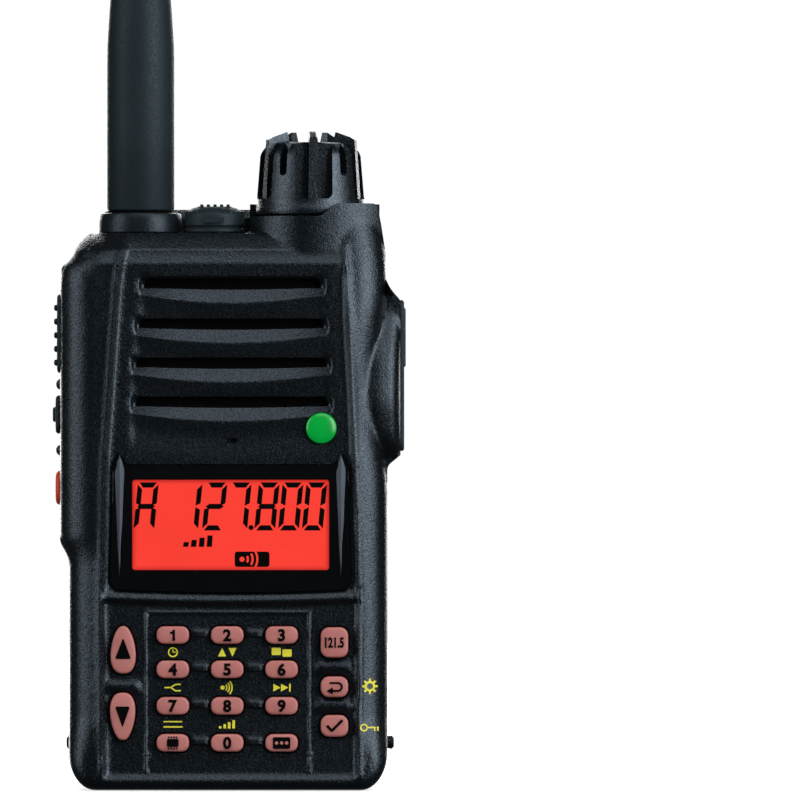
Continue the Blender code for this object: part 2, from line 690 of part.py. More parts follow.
# ---------------------------------------------------------------- side controls
def flanged_button(name, span, radius, face):
    """A side button between y0..y1 and z0..z1, with a flange behind the wall."""
    y0, y1, z0, z1 = span
    button = prism(name, rounded(y0, y1, z0, z1, radius), face, FLANGE_X + 0.5, "X")
    soften(button, 0.5, lambda x, y, z: x < face + 0.1)
    wide = rounded(y0 - 0.7, y1 + 0.7, z0 - 0.7, z1 + 0.7, radius)
    add(button, prism("flange", wide, FLANGE_X, FLANGE_X + 0.9, "X"))
    return button


def make_side_controls(carrier):
    y0, y1, z0, z1 = PTT
    bar = flanged_button("ptt_button", PTT, 1.4, -32.7)
    for i in range(5):
        low = z0 + 1.4 + 2.6 * i
        add(bar, box("rib", (-33.2, y0 + 1.2, low), (-32.0, y1 - 1.2, low + 1.2)))
    dress(bar, "rubber", body("ptt_slide", (-33.2, (y0 + y1) / 2, (z0 + z1) / 2), carrier))

    y0, y1, z0, z1 = SIDE_KEY
    side = flanged_button("side_key", SIDE_KEY, 1.4, -33.0)
    add(side, prism("nub", rounded_about((y0 + y1) / 2, (z0 + z1) / 2, 2.7, 2.9, 1.0), -33.5, -32.0, "X"))
    dress(side, "rubber", body("side_key_slide", (-33.5, (y0 + y1) / 2, (z0 + z1) / 2), carrier))

    y0, y1, z0, z1 = MONITOR
    monitor = flanged_button("monitor_button", MONITOR, 2.2, -33.0)
    dress(monitor, "button_orange", body("monitor_slide", (-33.0, (y0 + y1) / 2, (z0 + z1) / 2), carrier))

    y0, y1, z0, z1 = COVER
    cover = prism("jack_cover", rounded(y0, y1, z0, z1, 1.5), 31.75, 33.3, "X")
    soften(cover, 0.5, lambda x, y, z: x > 33.2)
    add(cover, prism("grip", rounded(y0 + 1.9, y1 - 1.9, 80.2, 91.4, 1.0), 32.8, 33.6, "X"))
    dress(cover, "rubber", body("cover_hinge", COVER_HINGE, carrier))


# ---------------------------------------------------------------- battery
def battery_outline():
    low, high = BATTERY_Z
    right = arc(FOOT_HALF - 5.0, low + 7.2, 5.0, 7.2, -90, 0, 4) + [(FOOT_HALF, high)]
    return right + [(-x, z) for x, z in reversed(right)]


def make_battery(carrier):
    front = PLATE_Y + 2.9
    case = prism("battery_case", battery_outline(), front, BACK_Y)
    soften(case, 1.5, lambda x, y, z: y > BACK_Y - 0.1, 2)
    cut(case, box("bay", (-26.6, 0, 13.3), (26.6, 14.8, 84.0)))
    cut(case, box("notch", (-27.2, 9.9, -3), (27.2, 22, 12.1)))
    cut(case, cylinder("pin", LATCH_AXIS, 1.45, -36, 36, 14, "X"))
    dress(case, "case_plastic", carrier)

    lid = prism("battery_lid", battery_outline(), PLATE_Y + 0.3, front - 0.15)
    for x in RAIL_X:
        cut(lid, box("groove", (x - 1.95, 0, 19.6), (x + 1.95, PLATE_Y + 1.7, 90)))
    dress(lid, "case_plastic", carrier)

    for number in range(6):
        row, column = divmod(number, 3)
        left, foot = -26.1 + 17.5 * column, 13.6 + 35.1 * row
        cell = prism(f"cell_{number + 1}", rounded(left, left + 17.2, 8.6, 14.6, 1.2), foot, foot + 34.9, "Z")
        dress(cell, "cell_sleeve", carrier)


def make_latch(carrier):
    """Flap across the foot of the battery, on trunnions that end in an ear at each side."""
    y, z = LATCH_AXIS
    half = 26.9
    flap = arc(y, z, 1.6, 1.6, -20, 200, 6) + [(y - 1.6, 4.0), (y - 0.9, 1.3), (y + 3.0, 1.3)]
    flap += [(y + 3.1, 3.6), (y + 1.9, 4.8), (y + 1.7, 7.4)]
    latch = prism("battery_latch", flap, -half, half, "X")
    add(latch, cylinder("trunnion", LATCH_AXIS, 1.2, -30.6, 30.6, 14, "X"))
    for side in (-1, 1):
        ear = [(0, side * 31.35), (0.9, side * 31.35), (1.3, side * 31.0), (1.25, side * 30.4), (0, side * 30.4)]
        add(latch, turned("ear", LATCH_AXIS, ear, 14, "X"))
    dress(latch, "case_plastic", carrier)


def make_terminals(carrier):
    terminals = box("battery_terminals", (-7.6, 3.8, 68.4), (7.6, 5.0, 79.6))
    for x in (-5.0, 0.0, 5.0):
        add(terminals, box("contact", (x - 1.2, 4.6, 70.0), (x + 1.2, PLATE_Y, 78.0)))
    dress(terminals, "brass", carrier)


# ---------------------------------------------------------------- belt clip
def make_clip_bracket(carrier):
    y, z = CLIP_AXIS
    base = BACK_Y + 0.05
    bracket = prism("clip_bracket", rounded(-11.0, 11.0, 88.0, 101.0, 1.5), base, base + 1.2)
    for low in (-10.4, 8.4):
        ear = arc(y, z, 2.6, 2.6, -75, 75, 6) + [(base + 0.8, z + 3.4), (base + 0.8, z - 3.4)]
        add(bracket, prism("ear", ear, low, low + 2.0, "X"))
    cut(bracket, cylinder("eye", CLIP_AXIS, 1.25, -15, 15, 12, "X"))
    dress(bracket, "die_cast", carrier)
    dress(cylinder("clip_pin", CLIP_AXIS, 1.0, -10.8, 10.8, 14, "X"), "steel", carrier)


def make_clip_spring(carrier):
    """Torsion spring round the pin between the clip's knuckles."""
    y, z = CLIP_AXIS
    coil, turns, per_turn, span = 1.65, 4, 12, 7.2
    wire = bpy.data.curves.new("clip_spring", "CURVE")
    wire.dimensions = "3D"
    wire.bevel_depth = 0.32 * MM
    wire.bevel_resolution = 1
    wire.use_fill_caps = True
    spline = wire.splines.new("POLY")
    spline.points.add(turns * per_turn)
    for i, point in enumerate(spline.points):
        t = 2 * math.pi * i / per_turn
        x = span * (i / (turns * per_turn) - 0.5)
        point.co = (x * MM, coil * math.cos(t) * MM, coil * math.sin(t) * MM, 1.0)
    spring = as_mesh(new_object("clip_spring", wire, (0, y, z)))
    dress(spring, "steel", carrier)


def make_belt_clip(carrier):
    """Sprung blade with a thumb pad above the pin and a hooked toe."""
    y, z = CLIP_AXIS
    inner = [(21.6, 104.6), (21.9, 98.2), (21.9, 90.0), (21.2, 80.0), (21.1, 50.0)]
    inner += [(20.6, 42.0), (18.4, 38.6), (17.3, 36.2)]
    outer = [(18.3, 35.2), (19.6, 36.8), (22.0, 40.6), (22.9, 50.0), (23.0, 80.0)]
    outer += [(23.7, 90.0), (23.7, 98.2), (23.3, 104.8)]
    clip = prism("belt_clip", inner + outer, -8.0, 8.0, "X")
    for low in (-8.0, 4.6):
        knuckle = arc(y, z, 2.1, 2.1, 80, 280, 8) + [(22.6, 91.8), (22.6, 98.2)]
        add(clip, prism("knuckle", knuckle, low + 0.01, low + 3.39, "X"))
    cut(clip, cylinder("eye", CLIP_AXIS, 1.2, -12, 12, 12, "X"))
    dress(clip, "case_plastic", carrier)


def main():
    clear_scene()
    bpy.context.scene.unit_settings.system = "METRIC"
    housing = body("housing")
    make_front_case(housing)
    make_rear_chassis(housing)
    make_gasket(housing)
    make_screws(housing)
    make_display(housing)
    make_keys(housing)
    make_electronics(housing)
    make_top_sockets(housing)
    make_terminals(housing)
    make_clip_bracket(housing)
    make_clip_spring(housing)
    make_side_controls(housing)
    make_antenna(body("antenna_thread", (*ANTENNA, 109.9), housing))
    make_knob(body("knob_axis", (*KNOB, 109.1), housing))
    make_accessory_cap(body("cap_thread", (*CAP, DECK_Z), housing))
    make_belt_clip(body("clip_hinge", (0, *CLIP_AXIS), housing))
    battery = body("battery_slide", (0, PLATE_Y, BLOCK_Z), housing)
    make_battery(battery)
    make_latch(body("latch_hinge", (0, *LATCH_AXIS), battery))


parts = collection("handheld_radio")
cutters = collection("cutters")
main()
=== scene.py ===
"""Looks of the handheld airband radio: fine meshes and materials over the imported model.

Lengths are in millimetres unless a name says otherwise, and become metres in the helpers. +Z is
up, the face looks towards -Y, and +X is to the right of someone who looks at the face.
"""

import json
import math

import bmesh
import bpy
import numpy as np
from mathutils import Matrix, Vector
from mathutils.geometry import delaunay_2d_cdt


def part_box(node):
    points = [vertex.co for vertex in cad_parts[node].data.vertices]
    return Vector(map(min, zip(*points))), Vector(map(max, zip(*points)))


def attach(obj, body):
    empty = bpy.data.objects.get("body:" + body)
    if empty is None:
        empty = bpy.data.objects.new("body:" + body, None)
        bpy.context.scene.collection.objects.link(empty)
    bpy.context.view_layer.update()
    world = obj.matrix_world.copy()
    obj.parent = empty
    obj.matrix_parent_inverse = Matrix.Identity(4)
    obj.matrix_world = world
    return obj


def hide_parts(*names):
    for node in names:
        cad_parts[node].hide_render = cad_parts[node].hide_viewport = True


MM = 0.001
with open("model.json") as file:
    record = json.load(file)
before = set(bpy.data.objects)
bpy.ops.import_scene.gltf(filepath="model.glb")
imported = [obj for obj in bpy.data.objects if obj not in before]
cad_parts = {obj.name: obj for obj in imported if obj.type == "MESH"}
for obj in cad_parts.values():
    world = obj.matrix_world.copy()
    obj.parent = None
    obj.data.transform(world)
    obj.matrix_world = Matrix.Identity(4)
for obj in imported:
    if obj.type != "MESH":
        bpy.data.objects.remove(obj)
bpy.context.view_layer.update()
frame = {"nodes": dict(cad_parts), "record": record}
nodes = frame["nodes"]


def span(node):
    """Lowest and highest corner of a CAD node, in millimetres."""
    low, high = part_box(node)
    return Vector(low) / MM, Vector(high) / MM


def middle(node):
    low, high = span(node)
    return (low + high) / 2


# ---------------------------------------------------------------- sizes, from the frame
CASE_LOW, CASE_HIGH = span("front_case")
FRONT_Y = CASE_LOW.y
SEAM_Y = CASE_HIGH.y
RIM_Z = CASE_HIGH.z
TOWER_Z = RIM_Z - 2.4
DECK_Z = span("antenna_collar")[0].z - 0.15
FOOT_L, FOOT_R = -30.3, 30.1
FOOT_ROUND = (5.0, 7.2)  # half width and height of the foot's rounded corners
ANTENNA = middle("antenna_whip").xy
KNOB = middle("volume_knob").xy
CAP = Vector((middle("accessory_cap").x, span("accessory_cap")[1].y - 5.7))
SHOULDER_L, SHOULDER_R = -32.0, CASE_HIGH.x
FIELD_DEEP = 0.9  # how far the face lies behind the ridges beside it
SHELL = 2.0  # thickness of the case's wall
KEY_FACE = span("key_5")[0].y + 0.1  # the legends stand in front of it


# ---------------------------------------------------------------- outlines as arrays of (x, z)
def arc(cx, cz, rx, rz, start, end, count):
    angles = np.radians(np.linspace(start, end, count + 1))
    return np.column_stack([cx + rx * np.cos(angles), cz + rz * np.sin(angles)])


def rounded(x0, x1, z0, z1, radius, count=6):
    r = min(radius, (x1 - x0) / 2 - 0.01, (z1 - z0) / 2 - 0.01)
    return np.vstack(
        [
            arc(x1 - r, z0 + r, r, r, -90, 0, count),
            arc(x1 - r, z1 - r, r, r, 0, 90, count),
            arc(x0 + r, z1 - r, r, r, 90, 180, count),
            arc(x0 + r, z0 + r, r, r, 180, 270, count),
        ]
    )


def eased(points, radius, count=4, closed=True):
    """The outline with each corner rounded by about `radius`."""
    points = np.asarray(points, float)
    out = []
    total = len(points)
    for i in range(total):
        if not closed and i in (0, total - 1):
            out.append(points[i])
            continue
        before, here, after = points[i - 1], points[i], points[(i + 1) % total]
        reach = min(
            radius, np.linalg.norm(before - here) * 0.45, np.linalg.norm(after - here) * 0.45
        )
        a = here + (before - here) / np.linalg.norm(before - here) * reach
        b = here + (after - here) / np.linalg.norm(after - here) * reach
        for t in np.linspace(0, 1, count + 1):
            out.append((1 - t) ** 2 * a + 2 * t * (1 - t) * here + t**2 * b)
    return np.array(out)


def resampled(points, step, closed=True):
    """Points no further than `step` apart along the outline, its corners kept."""
    points = np.asarray(points, float)
    ends = np.roll(points, -1, axis=0) if closed else points[1:]
    out = []
    for a, b in zip(points, ends):
        length = np.linalg.norm(b - a)
        if length < 1e-6:
            continue
        count = max(1, int(math.ceil(length / step)))
        out.extend(a + (b - a) * k / count for k in range(count))
    if not closed:
        out.append(points[-1])
    return np.array(out)


def grown(points, by):
    """The anticlockwise outline moved outwards by `by`."""
    points = np.asarray(points, float)
    one = points - np.roll(points, 1, axis=0)
    two = np.roll(points, -1, axis=0) - points
    one /= np.linalg.norm(one, axis=1)[:, None]
    two /= np.linalg.norm(two, axis=1)[:, None]
    normal = np.column_stack([one[:, 1] + two[:, 1], -one[:, 0] - two[:, 0]])
    normal /= np.linalg.norm(normal, axis=1)[:, None]
    lean = np.maximum(0.6, (normal * np.column_stack([one[:, 1], -one[:, 0]])).sum(axis=1))
    return points + normal * (by / lean)[:, None]


def contains(outline, points):
    """Which points lie inside the closed outline."""
    x, z = points[:, 0], points[:, 1]
    result = np.zeros(len(points), bool)
    for (x0, z0), (x1, z1) in zip(outline, np.roll(outline, -1, axis=0)):
        crosses = (z0 > z) != (z1 > z)
        if z1 != z0:
            result ^= crosses & (x < (x1 - x0) * (z - z0) / (z1 - z0) + x0)
    return result


def distance(path, points, closed=False):
    """Distance from each point to the path."""
    path = np.asarray(path, float)
    ends = np.roll(path, -1, axis=0) if closed else path[1:]
    best = np.full(len(points), 1e9)
    for a, b in zip(path, ends):
        along = b - a
        t = np.clip(((points - a) @ along) / max(along @ along, 1e-12), 0, 1)
        best = np.minimum(best, np.linalg.norm(points - (a + t[:, None] * along), axis=1))
    return best


def follow(table, at):
    """Value of a table of (position, value) at each position."""
    table = np.asarray(sorted(table), float)
    return np.interp(at, table[:, 0], table[:, 1])


def gentle(table, at, reach=2.0):
    """The same, with its corners rounded over `reach`."""
    return sum(follow(table, at + reach * k / 3) for k in range(-3, 4)) / 7


def smooth(low, high, value):
    t = np.clip((value - low) / (high - low), 0, 1)
    return t * t * (3 - 2 * t)


# ---------------------------------------------------------------- meshes
def add_mesh(name, verts, faces, material, body="housing", sharp=40):
    """A mesh object from millimetre points, shaded smooth but for its sharp edges."""
    data = bpy.data.meshes.new(name)
    data.from_pydata([tuple(v) for v in np.asarray(verts, float) * MM], [], faces)
    data.validate()
    return add_object(name, data, material, body, sharp)


def add_object(name, data, material, body="housing", sharp=40):
    obj = bpy.data.objects.new(name, data)
    bpy.context.scene.collection.objects.link(obj)
    if material:
        data.materials.clear()
        data.materials.append(material)
    shade(obj, sharp)
    if body:
        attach(obj, body)
    return obj


def shade(obj, sharp=40):
    obj.data.shade_smooth()
    obj.data.set_sharp_from_angle(angle=math.radians(sharp))


def lofted(rings, closed=False, caps=True):
    """Vertices and faces through rings of points with equal counts."""
    count = len(rings[0])
    verts = [tuple(p) for ring in rings for p in ring]
    faces = []
    steps = len(rings) if closed else len(rings) - 1
    for k in range(steps):
        low, high = k * count, ((k + 1) % len(rings)) * count
        for i in range(count):
            j = (i + 1) % count
            faces.append((low + i, low + j, high + j, high + i))
    if caps and not closed:
        faces.append(tuple(reversed(range(count))))
        faces.append(tuple(range((len(rings) - 1) * count, len(rings) * count)))
    return verts, faces


def tidy(obj):
    """Welds doubles and turns every face outwards."""
    bm = bmesh.new()
    bm.from_mesh(obj.data)
    bmesh.ops.remove_doubles(bm, verts=bm.verts, dist=0.000001)
    bmesh.ops.recalc_face_normals(bm, faces=bm.faces)
    bm.to_mesh(obj.data)
    bm.free()
    return obj


def loft(name, rings, material, body="housing", closed=False, sharp=40):
    verts, faces = lofted(rings, closed)
    return tidy_shaded(add_mesh(name, verts, faces, material, body, sharp), sharp)


def tidy_shaded(obj, sharp=40):
    tidy(obj)
    shade(obj, sharp)
    return obj


def on_plane(outline, axis, at):
    if axis == "Y":
        return [(a, at, b) for a, b in outline]
    if axis == "X":
        return [(at, a, b) for a, b in outline]
    return [(a, b, at) for a, b in outline]


def prism(name, outline, low, high, material=None, axis="Y", body="housing", sharp=40):
    rings = [on_plane(outline, axis, low), on_plane(outline, axis, high)]
    return loft(name, rings, material, body, sharp=sharp)


def pillow(name, outline, back, face, edge, material, axis="Y", body="housing", crown=0.0):
    """A prism from `back` to `face` whose front edge is rounded by `edge`, with a slight crown."""
    sign = 1 if face > back else -1
    rings = [on_plane(outline, axis, back)]
    for t in np.linspace(0, math.pi / 2, 6):
        inset = edge * (1 - math.cos(t))
        at = face - sign * (edge * (1 - math.sin(t)) + crown)
        rings.append(on_plane(grown(outline, -inset), axis, at))
    if crown:
        centre = outline.mean(axis=0)
        inner = grown(outline, -edge)
        for share, lift in ((0.7, 0.55), (0.35, 0.9), (0.08, 1.0)):
            ring = centre + (inner - centre) * share
            rings.append(on_plane(ring, axis, face - sign * crown * (1 - lift)))
    return loft(name, rings, material, body, sharp=50)


def turned(name, centre, profile, material, body="housing", steps=64, axis="Z", sharp=35):
    """A closed profile of (radius, height) turned about an axis."""
    angles = np.linspace(0, 2 * math.pi, steps, endpoint=False) + math.pi / steps
    rings = []
    for radius, height in profile:
        r = max(radius, 0.0005)
        pairs = [(centre[0] + r * math.cos(t), centre[1] + r * math.sin(t)) for t in angles]
        rings.append(on_plane(pairs, axis, height))
    return loft(name, rings, material, body, sharp=sharp)


def boolean(target, tools, operation):
    """Cuts or joins the tools at once, and removes them."""
    for tool in tools:
        step = target.modifiers.new("shape", "BOOLEAN")
        step.operation = operation
        step.solver = "EXACT"
        step.object = tool
    bpy.context.view_layer.update()
    graph = bpy.context.evaluated_depsgraph_get()
    data = bpy.data.meshes.new_from_object(target.evaluated_get(graph))
    material = target.data.materials[0] if target.data.materials else None
    target.modifiers.clear()
    target.data = data
    data.materials.clear()
    if material:
        data.materials.append(material)
    for tool in tools:
        bpy.data.objects.remove(tool, do_unlink=True)


def cut(target, *tools):
    boolean(target, tools, "DIFFERENCE")


def join(target, *tools):
    boolean(target, tools, "UNION")


def soften(obj, width, segments=2, angle=35):
    """Small rounds along every sharp edge, which catch the light."""
    bevel = obj.modifiers.new("Round", "BEVEL")
    bevel.width = width * MM
    bevel.segments = segments
    bevel.limit_method = "ANGLE"
    bevel.angle_limit = math.radians(angle)
    bevel.use_clamp_overlap = True
    bevel.harden_normals = False
    return obj


def box(name, low, high, material=None, body=None):
    """A block between two corners, given as (x, y, z)."""
    (x0, y0, z0), (x1, y1, z1) = low, high
    outline = np.array([(x0, z0), (x1, z0), (x1, z1), (x0, z1)])
    return prism(name, outline, y0, y1, material, "Y", body)


# ---------------------------------------------------------------- materials
def new_material(name, colour, roughness, metallic=0.0):
    made = bpy.data.materials.new(name)
    made.use_nodes = True
    shader = made.node_tree.nodes["Principled BSDF"]
    shader.inputs["Base Color"].default_value = (*colour, 1.0)
    shader.inputs["Roughness"].default_value = roughness
    shader.inputs["Metallic"].default_value = metallic
    return made, made.node_tree, shader


def coordinates(tree):
    return tree.nodes.new("ShaderNodeTexCoord").outputs["Object"]


def noise(tree, scale, detail=2.0, rough=0.5):
    node = tree.nodes.new("ShaderNodeTexNoise")
    node.inputs["Scale"].default_value = scale
    node.inputs["Detail"].default_value = detail
    node.inputs["Roughness"].default_value = rough
    tree.links.new(coordinates(tree), node.inputs["Vector"])
    return node.outputs["Fac"]


def ramp(tree, factor, low, high, start=0.3, end=0.7):
    """A colour or grey that follows a factor from `low` to `high`."""
    node = tree.nodes.new("ShaderNodeValToRGB")
    for element, at, value in zip(node.color_ramp.elements, (start, end), (low, high)):
        element.position = at
        element.color = (*value, 1.0) if isinstance(value, tuple) else (value, value, value, 1.0)
    tree.links.new(factor, node.inputs["Fac"])
    return node.outputs["Color"]


def calc(tree, operation, *values):
    """A math node whose inputs are links or plain numbers."""
    node = tree.nodes.new("ShaderNodeMath")
    node.operation = operation
    for socket, value in zip(node.inputs, values):
        if isinstance(value, float):
            socket.default_value = value
        else:
            tree.links.new(value, socket)
    return node.outputs[0]


def blended(tree, one, two, blend="MIX"):
    """A colour mix of two outputs, and its factor, which starts at 1."""
    node = tree.nodes.new("ShaderNodeMix")
    node.data_type = "RGBA"
    node.blend_type = blend
    node.inputs["Factor"].default_value = 1.0
    tree.links.new(one, node.inputs["A"])
    if isinstance(two, tuple):
        node.inputs["B"].default_value = (*two, 1.0)
    else:
        tree.links.new(two, node.inputs["B"])
    return node.outputs["Result"], node.inputs["Factor"]


def object_axis(tree, axis):
    """The object's own coordinate along an axis, in metres."""
    split = tree.nodes.new("ShaderNodeSeparateXYZ")
    tree.links.new(coordinates(tree), split.inputs["Vector"])
    return split.outputs[axis]


def bump(tree, shader, height, strength, depth, under=None):
    node = tree.nodes.new("ShaderNodeBump")
    node.inputs["Strength"].default_value = strength
    node.inputs["Distance"].default_value = depth
    tree.links.new(height, node.inputs["Height"])
    if under:
        tree.links.new(under, node.inputs["Normal"])
    tree.links.new(node.outputs["Normal"], shader.inputs["Normal"])
    return node.outputs["Normal"]


def moulded(name, colour, light, roughness, grain, strength, specular=0.5):
    """Spark-eroded plastic: a fine grain in colour, gloss and height over slow variation."""
    made, tree, shader = new_material(name, colour, roughness)
    slow = noise(tree, 60.0, 3.0)
    fine = noise(tree, grain, 2.0, 0.6)
    shader.inputs["Specular IOR Level"].default_value = specular
    shader.inputs["Specular Tint"].default_value = (0.68, 0.84, 1.0, 1.0)
    tree.links.new(ramp(tree, slow, colour, light), shader.inputs["Base Color"])
    gloss = ramp(tree, fine, roughness - 0.1, roughness + 0.08, 0.35, 0.65)
    tree.links.new(gloss, shader.inputs["Roughness"])
    first = bump(tree, shader, fine, strength, 0.00014)
    bump(tree, shader, noise(tree, grain * 0.35, 1.0), strength * 0.5, 0.0001, first)
    return made


def plain(name, colour, roughness, metallic=0.0, grain=900.0, strength=0.08, specular=0.5):
    """A smooth finish with faint mottling of its gloss."""
    made, tree, shader = new_material(name, colour, roughness, metallic)
    shader.inputs["Specular IOR Level"].default_value = specular
    fine = noise(tree, grain, 3.0)
    gloss = ramp(tree, fine, max(0.02, roughness - 0.05), roughness + 0.06)
    tree.links.new(gloss, shader.inputs["Roughness"])
    darker = tuple(c * 0.82 for c in colour)
    tree.links.new(ramp(tree, noise(tree, 120.0), darker, colour), shader.inputs["Base Color"])
    bump(tree, shader, fine, strength, 0.00002)
    return made


def turned_metal(name, colour, roughness):
    """Metal with fine rings across its axis."""
    made, tree, shader = new_material(name, colour, roughness, 1.0)
    wave = tree.nodes.new("ShaderNodeTexWave")
    wave.bands_direction = "Z"
    wave.inputs["Scale"].default_value = 900.0
    wave.inputs["Distortion"].default_value = 1.5
    tree.links.new(coordinates(tree), wave.inputs["Vector"])
    gloss = ramp(tree, wave.outputs["Fac"], roughness - 0.08, roughness + 0.12)
    tree.links.new(gloss, shader.inputs["Roughness"])
    bump(tree, shader, wave.outputs["Fac"], 0.15, 0.00002)
    return made


def lit_panel():
    """Red display, lit from behind, with painted shade towards its edges for the shadow of the window's
    frame.
    """
    made, tree, shader = new_material("display_red", (0.12, 0.01, 0.008), 0.35)
    inward = []  # millimetres inwards from each edge
    for axis, low, high in (("X", LCD_LOW.x, LCD_HIGH.x), ("Z", LCD_LOW.z, LCD_HIGH.z)):
        inward.append(calc(tree, "MULTIPLY_ADD", object_axis(tree, axis), 1 / MM, -low))
        inward.append(calc(tree, "MULTIPLY_ADD", object_axis(tree, axis), -1 / MM, high))
    nearest = inward[0]
    for other in inward[1:]:
        nearest = calc(tree, "MINIMUM", nearest, other)
    # Painted shade: the red darkens over the outer 0.9 mm of the panel, standing in for the frame's shadow.
    edge_shade_tone = ramp(tree, nearest, (0.55, 0.018, 0.012), (0.98, 0.044, 0.027), 0.0, 0.9)
    mottle = ramp(tree, noise(tree, 90.0), 0.93, 1.0)
    tone, _ = blended(tree, edge_shade_tone, mottle, "MULTIPLY")
    tree.links.new(tone, shader.inputs["Emission Color"])
    shader.inputs["Emission Strength"].default_value = 0.92
    return made


def key_rubber():
    """Rose silicone, lit through from below, with painted shade on its sides, darker the further back they
    lie.
    """
    made, tree, shader = new_material("key_rose", (0.5, 0.17, 0.15), 0.5)
    tone = ramp(tree, noise(tree, 400.0, 3.0), (0.47, 0.165, 0.15), (0.54, 0.2, 0.18))
    # Painted shade: the pads' sides turn dark red from 0.28 to 0.6 mm behind the key face, standing in for
    # the shadow on them.
    behind = tree.nodes.new("ShaderNodeMapRange")
    tree.links.new(object_axis(tree, "Y"), behind.inputs["Value"])
    behind.inputs["From Min"].default_value = (KEY_FACE + 0.28) * MM
    behind.inputs["From Max"].default_value = (KEY_FACE + 0.6) * MM
    colour, factor = blended(tree, tone, (0.13, 0.008, 0.008))
    tree.links.new(behind.outputs["Result"], factor)
    tree.links.new(colour, shader.inputs["Base Color"])
    shader.inputs["Subsurface Weight"].default_value = 0.15
    shader.inputs["Subsurface Radius"].default_value = (0.0012, 0.0004, 0.0003)
    bump(tree, shader, noise(tree, 2500.0), 0.12, 0.00003)
    return made


def lamp_green():
    """Clear green plastic that glows faintly."""
    made, tree, shader = new_material("lamp_green", (0.0, 0.30, 0.08), 0.25)
    tone = ramp(tree, noise(tree, 300.0), (0.0, 0.19, 0.022), (0.0, 0.225, 0.028))
    tree.links.new(tone, shader.inputs["Base Color"])
    tree.links.new(tone, shader.inputs["Emission Color"])
    shader.inputs["Emission Strength"].default_value = 0.75
    return made


LCD_LOW, LCD_HIGH = Vector((-18.2, 0, 41.7)), Vector((19.1, 0, 58.8))
BLACK, BLACK_LIGHT = (0.0015, 0.0024, 0.003), (0.003, 0.0044, 0.0054)
GREY, GREY_LIGHT = (0.010, 0.0165, 0.0198), (0.0145, 0.0225, 0.0265)
METAL, METAL_LIGHT = (0.005, 0.0075, 0.0095), (0.0075, 0.0108, 0.0135)
CASE = moulded("case_plastic", BLACK, BLACK_LIGHT, 0.28, 3400.0, 0.7, 0.6)
RUBBER = moulded("rubber", GREY, GREY_LIGHT, 0.55, 2600.0, 0.25, 0.3)
KNOB_RUBBER = moulded("knob_plastic", BLACK, BLACK_LIGHT, 0.32, 3200.0, 0.6, 0.75)
PAINT = moulded("die_cast", METAL, METAL_LIGHT, 0.36, 3000.0, 0.35, 0.3)
GLOSS = plain("gloss_black", (0.0022, 0.0026, 0.0034), 0.07, 0.0, 300.0, 0.02, 0.35)
# Painted highlight: the spears belong to the glossy black lens, and this lighter blue-grey colour stands in
# for their reflections.
SPEAR_HIGHLIGHT = plain("spear_painted_highlight", (0.10, 0.125, 0.155), 0.2, 0.0, 500.0, 0.03)
# Near-black woven cloth behind the louvres, and also the painted shade in the gaps round the battery's lid
# and under the whip.
CLOTH_AND_GAP_SHADE = plain("grille_black_and_gap_shade", (0.0008, 0.0009, 0.001), 0.95, 0.0, 2600.0, 0.6, 0.08)
INK = plain("ink_black", (0.0008, 0.0008, 0.0008), 0.6, specular=0.06)
YELLOW = plain("ink_yellow", (0.86, 0.80, 0.05), 0.55)
WHITE = plain("ink_white", (0.75, 0.77, 0.78), 0.5)
ORANGE = plain("button_orange", (0.93, 0.075, 0.012), 0.45, 0.0, 1500.0, 0.2)
STEEL = plain("steel", (0.55, 0.55, 0.56), 0.28, 1.0, 1800.0, 0.15)
BRASS = turned_metal("brass", (0.70, 0.53, 0.26), 0.28)
BOARD = plain("board_green", (0.01, 0.12, 0.05), 0.4, 0.0, 700.0, 0.3)
SLEEVE = plain("cell_sleeve", (0.04, 0.14, 0.30), 0.3)
CONE = plain("paper_cone", (0.02, 0.02, 0.02), 0.85, 0.0, 2500.0, 0.5)
ROSE = key_rubber()
RED = lit_panel()
LAMP_GREEN = lamp_green()


# ---------------------------------------------------------------- places on the face
# Each row of the grille is its slot's height and its two ends.
SLOT_ROWS = ((96.0, -16.2, 17.7), (88.4, -17.1, 18.2), (81.0, -17.7, 18.8), (73.6, -17.8, 19.1))
SLOT_H = 1.9
LAMP = (17.6, 68.6, 2.9)  # x, z, radius
MIC = (0.6, 66.2)
LENS = (-22.3, 23.2, 37.7, 61.6)  # x0, x1, z0, z1
SPEAR_X = (-20.6, 21.3)
KEY_COLS = (-10.5, -0.2, 10.1)
KEY_ROWS = (29.4, 22.9, 16.0, 9.0)
KEY_W, KEY_H = 6.3, 3.5
SIDE_KEY_X, SIDE_KEY_W = 20.1, 5.35
SIDE_KEYS = (("key_emergency", 28.0, 5.9), ("key_return", 19.6, 4.1), ("key_enter", 12.2, 4.3))
RIBS_X = (-15.6, 15.3)  # thin upright ribs beside the number keys
SADDLES_Z = (23.2, 16.0)  # bridges between the three outer keys
PAD_FOOT, PAD_TOP = 3.0, 33.7  # heights between which the keypad's ribs stand
FLANK_X = 26.8  # middle of the two signs on the right flank
TOWER_X0 = 3.9

# y0, y1, z0, z1 of each piece on the sides, then the height and radius of each side socket.
PTT = (-10.0, -0.7, 79.0, 94.0)
SIDE_KEY = (-8.6, -1.9, 67.5, 74.8)
MONITOR = (-8.5, -2.3, 54.0, 60.5)
COVER = (-9.1, -0.1, 64.2, 92.9)
SOCKET_Y = -6.8
SOCKETS = ((84.0, 1.75), (73.0, 2.2))

